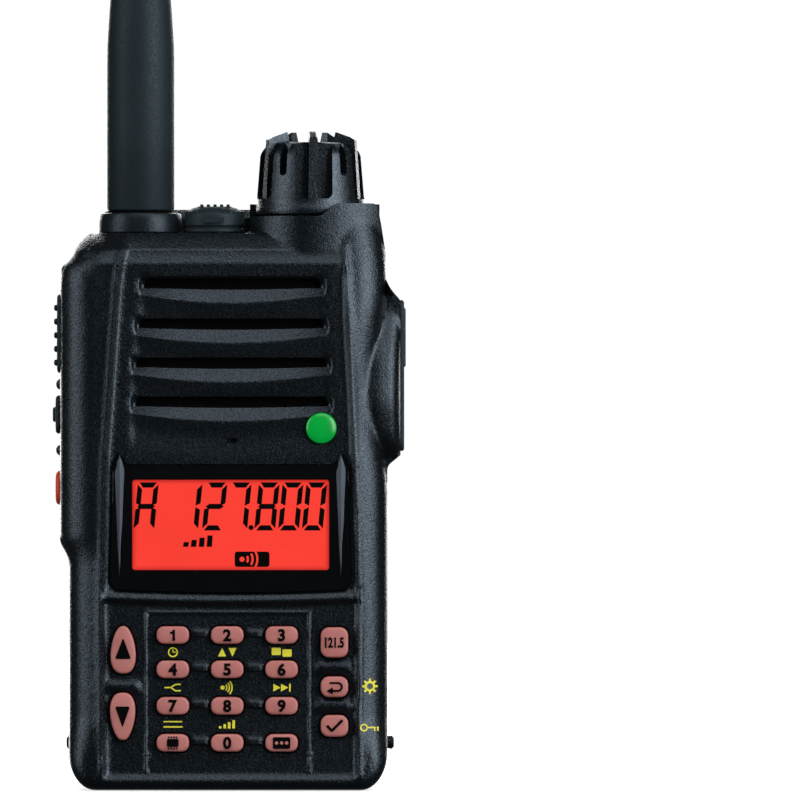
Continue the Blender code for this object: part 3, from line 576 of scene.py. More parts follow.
# Corners of the case in front view, as (x, z).
LEFT_SIDE = (
    (-27.6, DECK_Z - 0.6),
    (-28.7, DECK_Z - 1.8),
    (-29.5, DECK_Z - 4.0),
    (-31.7, 99.1),
    (SHOULDER_L, 96.0),
    (SHOULDER_L, 47.0),
    (FOOT_L, 43.8),
)
RIGHT_BLOCK = ((FOOT_R, 61.4), (SHOULDER_R, 63.4), (SHOULDER_R, 92.9))
RIGHT_TOP = ((29.8, 101.6), (28.9, 107.5), (28.1, RIM_Z))
PINCH = ((FOOT_R, 57.0), (29.6, 63.0), (28.5, 70.0), (28.0, 76.7), (28.5, 84.0), (FOOT_R, 94.0))


def foot_corner(side, steps):
    """Rounded corner of the foot: side 1 is the right one, side -1 the left one."""
    wide, high = FOOT_ROUND
    if side > 0:
        return arc(FOOT_R - wide, high, wide, high, -90, 0, steps)
    return arc(FOOT_L + wide, high, wide, high, 180, 270, steps)


def case_outline():
    """Front view of the case with its tower, anticlockwise from the foot."""
    right = [*RIGHT_BLOCK, (31.0, 94.6), (30.0, 96.3), *RIGHT_TOP, (20.2, RIM_Z), (17.6, TOWER_Z)]
    deck = [(TOWER_X0, TOWER_Z), (TOWER_X0, DECK_Z), (-26.0, DECK_Z)]
    corners = np.vstack([foot_corner(1, 12), right, deck, LEFT_SIDE, foot_corner(-1, 12)])
    return resampled(eased(corners, 0.9), 0.8)


def room_outline():
    """Inside of the shell, closed under the deck."""
    right = [*RIGHT_BLOCK, (30.6, 95.6), RIGHT_TOP[0], (29.2, DECK_Z)]
    left = [(-26.0, DECK_Z), (-29.0, 102.8), *LEFT_SIDE[3:]]
    corners = np.vstack([foot_corner(1, 8), right, left, foot_corner(-1, 8)])
    return resampled(grown(corners, -SHELL), 1.2)


def flank_path():
    """The case's sides and foot, without the block on the right, as an open path."""
    left = [(-25.4, DECK_Z), *LEFT_SIDE]
    right = [*PINCH, *RIGHT_TOP, (28.0, 120.0)]
    corners = np.vstack([left, foot_corner(-1, 12), foot_corner(1, 12), right])
    return eased(corners, 5.0, 5, closed=False)


def lens_bow(x):
    """0 at the middle of the lens and 1 at its ends, along a parabola."""
    x0, x1 = LENS[:2]
    return ((x - (x0 + x1) / 2) / ((x1 - x0) / 2)) ** 2


def lens_outline():
    """Display window with a bowed foot and a horn at each upper corner."""
    x0, x1, z0, z1 = LENS
    foot = [(x, z0 - 0.2 + 0.6 * lens_bow(x)) for x in np.linspace(x0 + 0.9, x1 - 0.9, 9)]
    right = [(x1 - 0.1, z0 + 1.6), (x1, z0 + 3.4), (x1 - 0.5, z1), (x1 - 1.5, z1 + 2.3)]
    left = [(x0 + 1.5, z1 + 2.3), (x0 + 0.5, z1), (x0, z0 + 3.4), (x0 + 0.1, z0 + 1.6)]
    between = [(x1 - 3.1, z1), (x0 + 3.1, z1)]
    return eased(np.array(foot + right + between + left), 0.5, 3)


def slot_lines(row, x):
    """Heights of a slot's lower lip and of the bowed line where its scoop starts."""
    centre, x0, x1 = row
    sag = np.sin(math.pi * np.clip((x - x0) / (x1 - x0), 0, 1))
    return centre - 0.85 - 0.35 * sag, centre - 2.35 - 1.45 * sag


def egg(cx, cz, width, height, lean, count=40):
    """Tall rounded key, narrower at the top for lean 1 and at the foot for lean -1."""
    t = 2 * math.pi * (np.arange(count) + 0.5) / count
    z = np.sin(t)
    x = np.sign(np.cos(t)) * np.abs(np.cos(t)) ** 0.8
    return np.column_stack([cx + width / 2 * x * (1 - lean * z * 0.22), cz + height / 2 * z])


def about(x, z, width, height, radius, count=6):
    return rounded(x - width / 2, x + width / 2, z - height / 2, z + height / 2, radius, count)


def key_outlines():
    names = (
        ("key_1", "key_2", "key_3"),
        ("key_4", "key_5", "key_6"),
        ("key_7", "key_8", "key_9"),
        ("key_memory", "key_0", "key_function"),
    )
    keys = {}
    for row, z in zip(names, KEY_ROWS):
        for name, x in zip(row, KEY_COLS):
            keys[name] = about(x, z, KEY_W, KEY_H, 1.5)
    keys["key_up"] = egg(-19.9, 26.6, 4.8, 9.2, 1)
    keys["key_down"] = egg(-20.0, 14.0, 4.8, 9.2, -1)
    for name, z, height in SIDE_KEYS:
        keys[name] = about(SIDE_KEY_X, z, SIDE_KEY_W, height, 1.6)
    return keys


def face_holes():
    """Outlines of every opening in the face."""
    x, z, radius = LAMP
    holes = [resampled(grown(outline, 0.25), 0.5) for outline in key_outlines().values()]
    holes.append(resampled(grown(lens_outline(), 0.15), 0.7))
    holes.append(arc(x, z, radius + 0.15, radius + 0.15, 0, 360 - 9, 39))
    holes.append(about(*MIC, 2.2, 1.0, 0.45, 3))
    for row in SLOT_ROWS:
        z, x0, x1 = row
        x = np.linspace(x0, x1, 60)
        lip = np.column_stack([x, slot_lines(row, x)[0]])
        top = [(x1 - 0.7, z + SLOT_H / 2), (x0 + 0.7, z + SLOT_H / 2)]
        holes.append(resampled(eased(np.vstack([lip, top]), 0.4, 2), 0.7))
    return holes


# ---------------------------------------------------------------- height of the face
# Each is a line up the face as (z, x): the left ridge, and the inner edge of the right one.
CREST_L = (
    (0, -23.9), (34, -24.3), (45, -24.0), (62, -23.7), (74.4, -22.8), (97.1, -21.2), (106, -19.3),
)
INNER_R = ((0, 23.4), (34, 23.7), (45, 23.4), (63, 22.8), (74, 22.3), (99.5, 21.1), (106, 20.5))
CREASE = ((62.0, 29.2), (66.0, 28.8), (76.7, 27.0), (85.9, 27.9), (94.0, 30.4))  # round the block
BLOCK = (  # how proud the block on the right stands, as (z, height)
    (61.4, 0.0), (63.4, 3.0), (66.3, 5.0), (73.4, 6.6), (82.2, 5.6), (90.0, 2.5), (93.1, 0.3), (95, 0),
)
BAND_FOOT, BAND_Z = 99.7, 102.4  # edges of the band over the face; the slope starts at the upper
BAND_DEEP, DECK_DEEP = 1.1, 4.8  # how far back the slope starts and ends
BAND = 1.3  # width of the chamfer between a ridge and the recessed face


def dip(value, centre, half, soft):
    """1 within `half` of the centre, falling to 0 over `soft` beyond it."""
    return 1 - smooth(half, half + soft, np.abs(value - centre))


def face_depth(points):
    """How far each point (x, z) of the moulded face lies behind the foremost plane."""
    x, z = points[:, 0], points[:, 1]
    crest_l, inner_r = gentle(CREST_L, z), gentle(INNER_R, z)

    # Rounded sides and foot.
    pinch_x, pinch_z = np.transpose(PINCH)
    outside = (z > pinch_z[0]) & (x > np.interp(z, pinch_z, pinch_x, right=99.0))
    inside = np.where(outside, 0.0, distance(flank_path(), points))
    wide = follow(((0, 2.0), (4, 3.0), (14, 6.6)), z)
    deep = follow(((0, 2.4), (4, 3.4), (14, 6.0)), z)
    turn = np.clip(1 - inside / wide, 0, 1)
    main = deep * (1 - np.sqrt(1 - turn**2))

    # The face lies back between the two ridges, from the chin to the top band.
    within = smooth(0, 1, (x - crest_l) / BAND) * smooth(0, 1, (inner_r + BAND - x) / BAND)
    height = smooth(1.4, 3.4, z) * (1 - smooth(101.0, DECK_Z, z))
    recess = FIELD_DEEP * within * height
    ridges = dip(x, crest_l - 0.1, 0.1, 0.75) + dip(x, inner_r + BAND + 0.1, 0.1, 0.75)
    main = main + recess - 0.38 * ridges * height
    main = main + louvres(x, z) + display_bar(x, z, within) + keypad(x, z)

    # Slope under the deck, and the shoulder that leans back on the right.
    top = follow(((BAND_FOOT, 0), (BAND_Z, BAND_DEEP), (DECK_Z, DECK_DEEP), (120, 5.2)), z)
    top = top + 12.0 * smooth(0.02, 0.12, z - DECK_Z) * (x < 12.0)
    shoulder = gentle(((90, 0), (96, 0.7), (111, 3.9)), z, 3.0)
    right = smooth(-0.2, 1.9, x - inner_r)
    main = main + top * (1 - right) + shoulder * right

    # Tower round the knob.
    tower = tower_depth(x)
    tower = np.where((z > 98.0) & (x > TOWER_X0 - 0.01), tower, 99.0)

    # Block on the right, proud of the rounded side.
    lift = gentle(BLOCK, z)
    block = np.where(x > 25.5, 8.0 - lift * (1 - 0.12 * smooth(28.0, SHOULDER_R, x)), 99.0)
    edge = np.clip(1 - (SHOULDER_R - x) / 2.0, 0, 1)
    block = block + 0.55 * lift * (1 - np.sqrt(1 - edge**2))
    return soft_least(soft_least(main, tower, 0.15), block, 0.5)


def tower_depth(x):
    """Bowed front of the raised part round the knob, fuller to the right."""
    half = np.where(x < KNOB.x, 12.4, 17.0)
    across = np.clip((x - KNOB.x) / half, -0.999, 0.999)
    return KNOB.y - 12.9 * np.sqrt(1 - across**2) - FRONT_Y


def soft_least(one, two, reach):
    """The smaller of two depths, rounded where they cross."""
    near = np.clip((reach - np.abs(one - two)) / reach, 0, 1)
    return np.minimum(one, two) - near**2 * reach / 4


def louvres(x, z):
    """Scoops that rise from each slot's lower lip to a bowed line, and a fall to the next slot."""
    depth = np.zeros_like(x)
    for row in SLOT_ROWS:
        centre, x0, x1 = row
        lip, bow = slot_lines(row, x)
        beside = smooth(-0.9, 0.0, x - x0) * smooth(-0.9, 0.0, x1 - x)
        up = np.clip((z - bow) / (lip - bow), 0, 1)
        scoop = 1.25 * up * (z <= centre)
        over = np.clip(1 - (z - centre) / (SLOT_H / 2 + 0.5), 0, 1) * 1.25 * (z > centre)
        fall = 0.35 * np.clip((bow - z) / 2.6, 0, 1) * (1 - smooth(3.0, 7.5, bow - z))
        depth = np.maximum(depth, beside * (scoop + over + fall))
    return depth


def bar_crest(x):
    """Height of the crest of the bar under the display."""
    return LENS[2] - 1.9 + 0.55 * lens_bow(x)


def display_bar(x, z, within):
    """Bar under the display: its upper face looks up, its lower face looks down to the keys."""
    crest = bar_crest(x)
    above = np.clip((z - crest) / 1.9, 0, 1) * (z > crest)
    below = np.clip((crest - z) / 1.1, 0, 1) * (z <= crest)
    near = 1 - smooth(0.0, 1.0, np.maximum(above, below))
    return -0.85 * near * within * (z > crest - 1.4) * (z < crest + 2.2)


def keypad(x, z):
    """Thin ribs, links between the keys of a row, and saddles between the outer keys."""
    shapes = [0.3 * dip(x, rib, 0.12, 0.3) for rib in RIBS_X]
    shapes.append(0.2 * dip(z, PAD_TOP, 0.1, 0.3) * dip(x, -0.15, 15.0, 0.2))
    for row in KEY_ROWS:
        for one, two in zip(KEY_COLS, KEY_COLS[1:]):
            link = dip(x, (one + two) / 2, (two - one - KEY_W) / 2 - 0.5, 0.25)
            shapes.append(0.32 * dip(z, row + 0.25, 0.45, 0.35) * link)
    shapes.append(0.65 * dip(z, 19.6, 0.3, 1.1) * dip(x, -20.0, 2.7, 0.7))
    for saddle in SADDLES_Z:
        shapes.append(0.65 * dip(z, saddle, 0.35, 1.1) * dip(x, SIDE_KEY_X, 3.0, 0.7))
    ends = smooth(PAD_FOOT, PAD_FOOT + 0.6, z) * (1 - smooth(PAD_TOP, PAD_TOP + 0.6, z))
    return -np.max(shapes, axis=0) * ends


# ---------------------------------------------------------------- front of the case
def level_lines(x, z, steps):
    """Copies of a line of points across the face, each moved up by a step."""
    return [np.column_stack(np.broadcast_arrays(x, z + step)) for step in steps]


def side_lines(x, z, steps):
    """Copies of a line of points up the face, each moved to the right by a step."""
    return [np.column_stack(np.broadcast_arrays(x + step, z)) for step in steps]


def feature_points():
    """Points close to the creases of the face, so that the triangles follow them."""
    z = np.arange(1.0, 104.0, 0.8)
    lines = side_lines(follow(CREST_L, z), z, (-0.7, -0.3, 0, 0.45, 0.9, BAND))
    lines += side_lines(follow(INNER_R, z), z, (0, 0.45, 0.9, BAND, 1.6, 2.0))
    for row in SLOT_ROWS:
        centre, x0, x1 = row
        x = np.linspace(x0 - 0.9, x1 + 0.9, 52)
        lines += level_lines(x, slot_lines(row, x)[1], (-0.3, 0.0, 0.3))
        z = np.linspace(centre - 3.2, centre + 1.3, 8)
        lines += side_lines(x0, z, (-0.15, -0.4, -0.7, -0.95))
        lines += side_lines(x1, z, (0.15, 0.4, 0.7, 0.95))
    x = np.linspace(-23.5, 24.3, 60)
    lines += level_lines(x, bar_crest(x), (-1.3, -1.0, -0.6, -0.25, 0.0, 0.3, 0.8, 1.3, 1.8))
    z = np.arange(PAD_FOOT, PAD_TOP + 0.5, 0.8)
    for rib in RIBS_X:
        lines += side_lines(rib, z, (-0.45, -0.25, -0.08, 0.08, 0.25, 0.45))
    lines += level_lines(np.linspace(-15.0, 14.8, 40), PAD_TOP, (-0.4, -0.15, 0, 0.15, 0.4))
    for row in KEY_ROWS:
        for one, two in zip(KEY_COLS, KEY_COLS[1:]):
            x = np.linspace(one + KEY_W / 2 + 0.35, two - KEY_W / 2 - 0.35, 7)
            lines += level_lines(x, row - 0.1, (-0.8, -0.45, -0.1, 0.25, 0.6, 0.95, 1.3))
    lines += level_lines(np.linspace(-23.4, 24.2, 60), 0.0, (1.4, 1.9, 2.4, 2.9, 3.4, 3.7))
    x = np.linspace(-24.0, 27.0, 64)
    lines += level_lines(x, BAND_FOOT, (-0.3, 0, 0.3))
    lines += level_lines(x, BAND_Z, (-0.3, 0, 0.3))
    lines += level_lines(x, DECK_Z, (-0.5, -0.1, 0.02, 0.14))
    x = np.linspace(7.0, 22.5, 40)
    share = (tower_depth(x) - BAND_DEEP) / (DECK_DEEP - BAND_DEEP)
    lines += level_lines(x, BAND_Z + share * (DECK_Z - BAND_Z), (-0.45, -0.15, 0.0, 0.15, 0.45))
    z = np.arange(62.0, 94.0, 0.7)
    lines += side_lines(follow(CREASE, z), z, (-0.8, -0.4, 0.0, 0.4, 0.8))
    return np.vstack(lines)


def spaced(points, taken, gap):
    """The points that keep `gap` from those already taken and from each other."""
    kept = []
    cells = {}  # points by the square of side `gap` that they lie in
    for x, z in taken:
        cells.setdefault((int(x // gap), int(z // gap)), []).append((x, z))
    for x, z in points:
        column, row = int(x // gap), int(z // gap)
        around = [(column + i, row + j) for i in (-1, 0, 1) for j in (-1, 0, 1)]
        near = [point for cell in around for point in cells.get(cell, ())]
        if all((x - a) ** 2 + (z - b) ** 2 >= gap * gap for a, b in near):
            kept.append((x, z))
            cells.setdefault((column, row), []).append((x, z))
    return np.array(kept).reshape(-1, 2)


def triangulated(outline, loops, extra, step):
    """Points and triangles over the outline, with an edge along each loop."""
    fixed = [outline, *loops]
    edge_points = np.vstack(fixed)
    free = extra[contains(outline, extra)]
    for ring in (0.12, 0.3, 0.6, 1.0, 1.6, 2.4, 3.3, 4.3, 5.4, 6.6):
        free = np.vstack([free, near_edge(outline, ring)])
    free = spaced(free, edge_points, 0.13)
    across = np.arange(outline[:, 0].min(), outline[:, 0].max(), step)
    up = np.arange(outline[:, 1].min(), outline[:, 1].max(), step * 0.87)
    grid = np.array([(x + (j % 2) * step / 2, z) for j, z in enumerate(up) for x in across])
    grid = grid[contains(outline, grid)]
    grid = spaced(grid, np.vstack([edge_points, free]), step * 0.6)
    points = np.vstack([edge_points, free, grid])
    edges = []
    start = 0
    for loop in fixed:
        count = len(loop)
        edges += [(start + i, start + (i + 1) % count) for i in range(count)]
        start += count
    found = delaunay_2d_cdt([Vector(p) for p in points], edges, [], 0, 1e-6)
    return np.array([tuple(p) for p in found[0]]), np.array(found[2])


def near_edge(outline, ring):
    """Points a given distance inside the outline, leaving out those near another stretch of it."""
    moved = grown(resampled(outline, max(0.6, ring * 0.4)), -ring)
    moved = moved[contains(outline, moved)]
    return moved[np.abs(distance(outline, moved, True) - ring) < ring * 0.15]


def boundary_loops(triangles):
    """Directed edges that only one triangle has."""
    edges = {}
    for a, b, c in triangles:
        for pair in ((a, b), (b, c), (c, a)):
            edges[pair] = True
    return [pair for pair in edges if (pair[1], pair[0]) not in edges]


def make_front_case():
    """The moulded front: its face as a height field, its wall back to the seam, and its openings."""
    outline = case_outline()
    room = room_outline()
    holes = face_holes()
    points, triangles = triangulated(outline, [room, *holes], feature_points(), 0.8)
    centres = points[triangles].mean(axis=1)
    kept = contains(outline, centres)
    for hole in holes:
        kept &= ~contains(hole, centres)
    triangles, centres = triangles[kept], centres[kept]
    in_room = contains(room, centres)

    front = FRONT_Y + face_depth(points)
    back = np.maximum(front + 0.8, np.minimum(front + 1.4, FRONT_Y + 3.0))
    count = len(points)
    verts = np.vstack(
        [
            np.column_stack([points[:, 0], front, points[:, 1]]),
            np.column_stack([points[:, 0], back, points[:, 1]]),
            np.column_stack([points[:, 0], np.full(count, SEAM_Y), points[:, 1]]),
        ]
    )
    faces = [tuple(t) for t in triangles]
    faces += [tuple(t[::-1] + count) for t in triangles[in_room]]
    faces += [tuple(t[::-1] + 2 * count) for t in triangles[~in_room]]
    inner = set(boundary_loops(triangles[in_room]))
    outer = set(boundary_loops(triangles[~in_room]))
    for a, b in boundary_loops(triangles):
        layer = 1 if (a, b) in inner else 2
        faces.append((b, a, a + layer * count, b + layer * count))
    for a, b in inner:
        if (b, a) in outer:
            faces.append((b + count, a + count, a + 2 * count, b + 2 * count))
    case = add_mesh("case_front", verts, faces, CASE, "housing")
    drop_loose(case)
    cut(case, *case_cutters())
    shade(case, 38)
    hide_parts("front_case")
    return case


def make_grille_cloth():
    """Woven black cloth behind the louvres."""
    rows = [row[0] for row in SLOT_ROWS]
    y = FRONT_Y + 3.03
    outline = resampled(rounded(-18.6, 19.8, min(rows) - 2.2, max(rows) + 2.0, 1.5), 2.0)
    cloth = prism("grille_cloth", outline, y, y + 0.05, CLOTH_AND_GAP_SHADE)


def drop_loose(obj):
    bm = bmesh.new()
    bm.from_mesh(obj.data)
    bmesh.ops.delete(bm, geom=[v for v in bm.verts if not v.link_faces], context="VERTS")
    bmesh.ops.recalc_face_normals(bm, faces=bm.faces)
    bm.to_mesh(obj.data)
    bm.free()


def case_cutters():
    """Openings in the sides, the deck and the knob's well."""
    cutters = []
    gap = 0.3
    left, right = (-36, -27), (31.5, 40)
    sides = ((PTT, 1.6, left), (SIDE_KEY, 1.6, left), (MONITOR, 2.4, left), (COVER, 1.6, right))
    for (y0, y1, z0, z1), radius, (near, far) in sides:
        shape = rounded(y0 - gap, y1 + gap, z0 - gap, z1 + gap, radius)
        cutters.append(prism("opening", shape, near, far, axis="X", body=None))
    for z, radius in SOCKETS:
        ring = arc(SOCKET_Y, z, radius + 0.4, radius + 0.4, 0, 345, 23)
        cutters.append(prism("socket", ring, 26, 40, axis="X", body=None))
    bores = ((KNOB, 10.9, TOWER_Z - 0.5), (ANTENNA, 4.8, 95), (CAP, 4.1, 95), (KNOB, 3.6, 95))
    for (x, y), radius, low in bores:
        ring = arc(x, y, radius, radius, 0, 354, 59)
        cutters.append(prism("bore", ring, low, 130, axis="Z", body=None))
    return cutters


# ---------------------------------------------------------------- display
def plate(name, outline, window, face, back, material, body="housing"):
    """A flat sheet with a window in it."""
    points, triangles = triangulated(outline, [window], np.zeros((0, 2)), 4.0)
    centres = points[triangles].mean(axis=1)
    triangles = triangles[contains(outline, centres) & ~contains(window, centres)]
    count = len(points)
    verts = [(x, y, z) for y in (face, back) for x, z in points]
    faces = [tuple(t) for t in triangles] + [tuple(t[::-1] + count) for t in triangles]
    faces += [(b, a, a + count, b + count) for a, b in boundary_loops(triangles)]
    sheet = add_mesh(name, verts, faces, material, body)
    drop_loose(sheet)
    return sheet


def make_display():
    """Lens with its window and side bars, the lit panel behind it, its tray and the lamp."""
    back = FRONT_Y + 2.3
    crest = span("display_lens")[0].y
    face = crest + 0.75
    x0, x1, z0, z1 = LCD_LOW.x, LCD_HIGH.x, LCD_LOW.z, LCD_HIGH.z
    window = rounded(x0, x1, z0, z1, 0.6)
    lens = plate("lens", resampled(lens_outline(), 2.0), window, face, back, GLOSS)
    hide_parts("display_lens")
    soften(lens, 0.15, 2)
    for number, x in enumerate(SPEAR_X, 1):
        make_spear(f"lens_spear_{number}", x, face, crest)

    low, high = span("lcd_panel")
    lit = rounded(x0 + 0.03, x1 - 0.03, z0 + 0.03, z1 - 0.03, 0.55)
    panel = prism("lcd_lit", lit, face + 0.35, back, RED)
    soften(panel, 0.05, 1)
    tray = box("lcd_tray", (low.x, back + 0.05, low.z), high, WHITE, "housing")
    soften(tray, 0.3)
    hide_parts("lcd_panel")
    make_segments(face + 0.34)
    make_lamp()


def make_spear(name, x, face, crest):
    """A long ridge with two facets, pointed at both ends and widest near its top."""
    root = face + 0.4
    corners = (  # height, half width and front of each corner, from the foot up
        (39.3, 0.02, face + 0.05),
        (43.0, 0.35, face - 0.2),
        (51.0, 0.95, face - 0.5),
        (60.2, 1.35, crest),
        (62.2, 0.75, crest + 0.1),
        (63.6, 0.02, face + 0.05),
    )
    rings = []
    for z, half, front in corners:
        rings.append([(x - half, root, z), (x + half, root, z), (x + half * 0.05, front, z)])
    # The spear's lighter blue-grey material is a painted highlight.
    spear = loft(name, rings, SPEAR_HIGHLIGHT, sharp=15)


SEGMENTS = {  # which of the seven bars each sign lights
    "A": "abcefg",
    "0": "abcdef",
    "1": "bc",
    "2": "abdeg",
    "7": "abc",
    "8": "abcdefg",
}
DIGIT_W, DIGIT_H, STROKE, SLANT = 4.2, 9.1, 0.98, 0.105


def segment(letter):
    """Outline of one bar of a sign whose lower left corner is at the origin."""
    w, h, t, gap = DIGIT_W, DIGIT_H, STROKE, 0.12
    half = h / 2
    if letter in "ad":
        z, turn = (h, -1) if letter == "a" else (0, 1)
        shape = [(gap + 0.25, z), (w - gap - 0.25, z), (w - t - gap, z + turn * t), (t + gap, z + turn * t)]
    elif letter == "g":
        shape = [(gap + 0.15, half), (t, half - t / 2), (w - t, half - t / 2)]
        shape += [(w - gap - 0.15, half), (w - t, half + t / 2), (t, half + t / 2)]
    else:
        x, side = (w, -1) if letter in "bc" else (0, 1)
        low, high = (half + gap, h - gap - 0.25) if letter in "bf" else (gap + 0.25, half - gap)
        outer_end, inner_end = (high, high - t) if letter in "bf" else (high - t / 2, high)
        outer_start, inner_start = (low + t / 2, low) if letter in "bf" else (low, low + t)
        shape = [(x, outer_start), (x, outer_end), (x + side * t, inner_end), (x + side * t, inner_start)]
        if letter in "bf":
            shape[1], shape[2] = (x, high), (x + side * t, high - t)
    return [(a + b * SLANT, b) for a, b in shape]


def flat_shapes(name, shapes, at, deep, material, body="housing"):
    """Thin prints: several outlines on the plane y = at, `deep` thick towards the viewer."""
    verts, faces = [], []
    for shape in shapes:
        start, count = len(verts), len(shape)
        verts += on_plane(shape, "Y", at) + on_plane(shape, "Y", at - deep)
        faces.append(tuple(range(start, start + count)))
        faces.append(tuple(reversed(range(start + count, start + 2 * count))))
        for i in range(count):
            j = (i + 1) % count
            faces.append((start + i, start + count + i, start + count + j, start + j))
    return tidy_shaded(add_mesh(name, verts, faces, material, body), 30)


def wave(x, z, radius, half, reach, count):
    """Part of a ring, open to the right: one arc of a sound sign."""
    outer = arc(x, z, radius + half, radius + half, -reach, reach, count)
    inner = arc(x, z, radius - half, radius - half, reach, -reach, count)
    return np.vstack([outer, inner])


def disc(x, z, radius):
    return arc(x, z, radius, radius, 0, 330, 11)


def make_segments(at):
    """Seven-bar reading with a point, and two small generic signs under it."""
    foot = 49.2
    places = (("A", -18.0), ("1", -9.7), ("2", -5.0), ("7", -0.4), ("8", 4.9), ("0", 9.4), ("0", 13.9))
    shapes = []
    for digit, left in places:
        for letter in SEGMENTS[digit]:
            shapes.append([(left + x * 0.94, foot + z) for x, z in segment(letter)])
    shapes.append(disc(4.3, foot + 0.55, 0.5))
    for step in range(4):  # rising bars of a level sign
        left, top = -8.6 + 1.5 * step, 47.0 + 0.42 * step
        shapes.append([(left, 46.1), (left + 1.0, 46.1), (left + 1.15, top), (left + 0.15, top)])
    flat_shapes("lcd_segments", shapes, at, 0.04, INK)

    # A dark tile with a dot and three arcs of sound in the display's own red.
    flat_shapes("lcd_tile", [rounded(1.2, 7.8, 42.3, 45.2, 0.5)], at, 0.04, INK)
    x, z = 2.6, 43.75
    waves = [wave(x, z, radius, 0.2, 32, 10) for radius in (1.1, 2.0, 2.9)]
    flat_shapes("lcd_waves", [disc(x, z, 0.5), *waves], at - 0.05, 0.02, RED)


def make_lamp():
    """Shallow dome of the indicator."""
    x, z, radius = LAMP
    low, high = span("indicator_lens")
    profile = [(0, low.y)]
    for t in np.linspace(0.02, math.pi / 2, 10):
        profile.append((radius * math.sin(t), low.y + 0.75 * (1 - math.cos(t))))
    profile += [(radius, high.y), (0, high.y)]
    lamp = turned("lamp_lens", (x, z), profile, LAMP_GREEN, axis="Y", steps=48)
    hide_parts("indicator_lens")


# ---------------------------------------------------------------- keys
def text_shapes(name, words, at, size, y, material, body, bold=0.0):
    """Raised print from a text curve, turned to face -Y and centred at (x, z)."""
    curve = bpy.data.curves.new(name, "FONT")
    curve.body = words
    curve.size = size * MM
    curve.align_x = "CENTER"
    curve.align_y = "CENTER"
    curve.extrude = 0.03 * MM
    curve.offset = bold * MM
    curve.resolution_u = 4
    holder = bpy.data.objects.new(name, curve)
    bpy.context.scene.collection.objects.link(holder)
    bpy.context.view_layer.update()
    graph = bpy.context.evaluated_depsgraph_get()
    data = bpy.data.meshes.new_from_object(holder.evaluated_get(graph))
    bpy.data.objects.remove(holder, do_unlink=True)
    bpy.data.curves.remove(curve)
    corners = np.array([v.co[:2] for v in data.vertices])
    centre = (corners.min(axis=0) + corners.max(axis=0)) / 2
    data.transform(Matrix.Translation((-centre[0], -centre[1], 0)))
    data.transform(Matrix.Rotation(math.pi / 2, 4, "X"))
    data.transform(Matrix.Translation(Vector((at[0], y, at[1])) * MM))
    return tidy_shaded(add_object(name, data, material, body, 30), 30)


def make_keys():
    """Seventeen pads with their legends, each on its own slide."""
    rear = span("key_5")[1].y
    for name, outline in key_outlines().items():
        outline = grown(resampled(outline, 0.8), -0.04)
        body = f"{name}_cap"
        pad = pillow(name + "_pad", outline, rear, KEY_FACE, 0.55, ROSE, body=body, crown=0.12)
        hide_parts(name)
    at = KEY_FACE - 0.02
    make_digits(at)
    make_emergency_legend(at)
    make_key_signs(at)


def make_digits(at):
    """Digits in the built-in font, but for the one, which has a flag."""
    x, z = KEY_COLS[0], KEY_ROWS[0]
    one = [(0.42, -1.06), (0.42, 1.06), (0.1, 1.06), (-0.12, 0.72)]
    one += [(-0.5, 0.62), (-0.5, 0.26), (-0.04, 0.26), (-0.04, -1.06)]
    sign("key_1_legend", [[(x + a, z + b) for a, b in one]], at, "key_1_cap")
    outlines = key_outlines()
    for digit in "023456789":
        name = f"key_{digit}"
        centre = outlines[name].mean(axis=0)
        text_shapes(f"{name}_legend", digit, centre, 3.0, at, INK, f"{name}_cap", 0.13)


def make_emergency_legend(at):
    """The distress frequency in narrow digits."""
    z = key_outlines()["key_emergency"].mean(axis=0)[1]
    legend = text_shapes("key_emergency_legend", "121.5", (0, 0), 2.6, at, INK, None, 0.1)
    narrow = Matrix.Diagonal((0.68, 1, 1, 1))
    legend.data.transform(Matrix.Translation((SIDE_KEY_X * MM, 0, z * MM)) @ narrow)
    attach(legend, "key_emergency_cap")


def sign(name, shapes, at, body, material=INK, deep=0.04):
    """A thin print on a moving body."""
    return flat_shapes(name, shapes, at, deep, material, body)


def ribbon(path, width):
    """Outline of a line of even width along a path."""
    path = np.asarray(path, float)
    along = np.gradient(path, axis=0)
    along /= np.linalg.norm(along, axis=1)[:, None]
    side = np.column_stack([-along[:, 1], along[:, 0]]) * width / 2
    return np.vstack([path - side, (path + side)[::-1]])


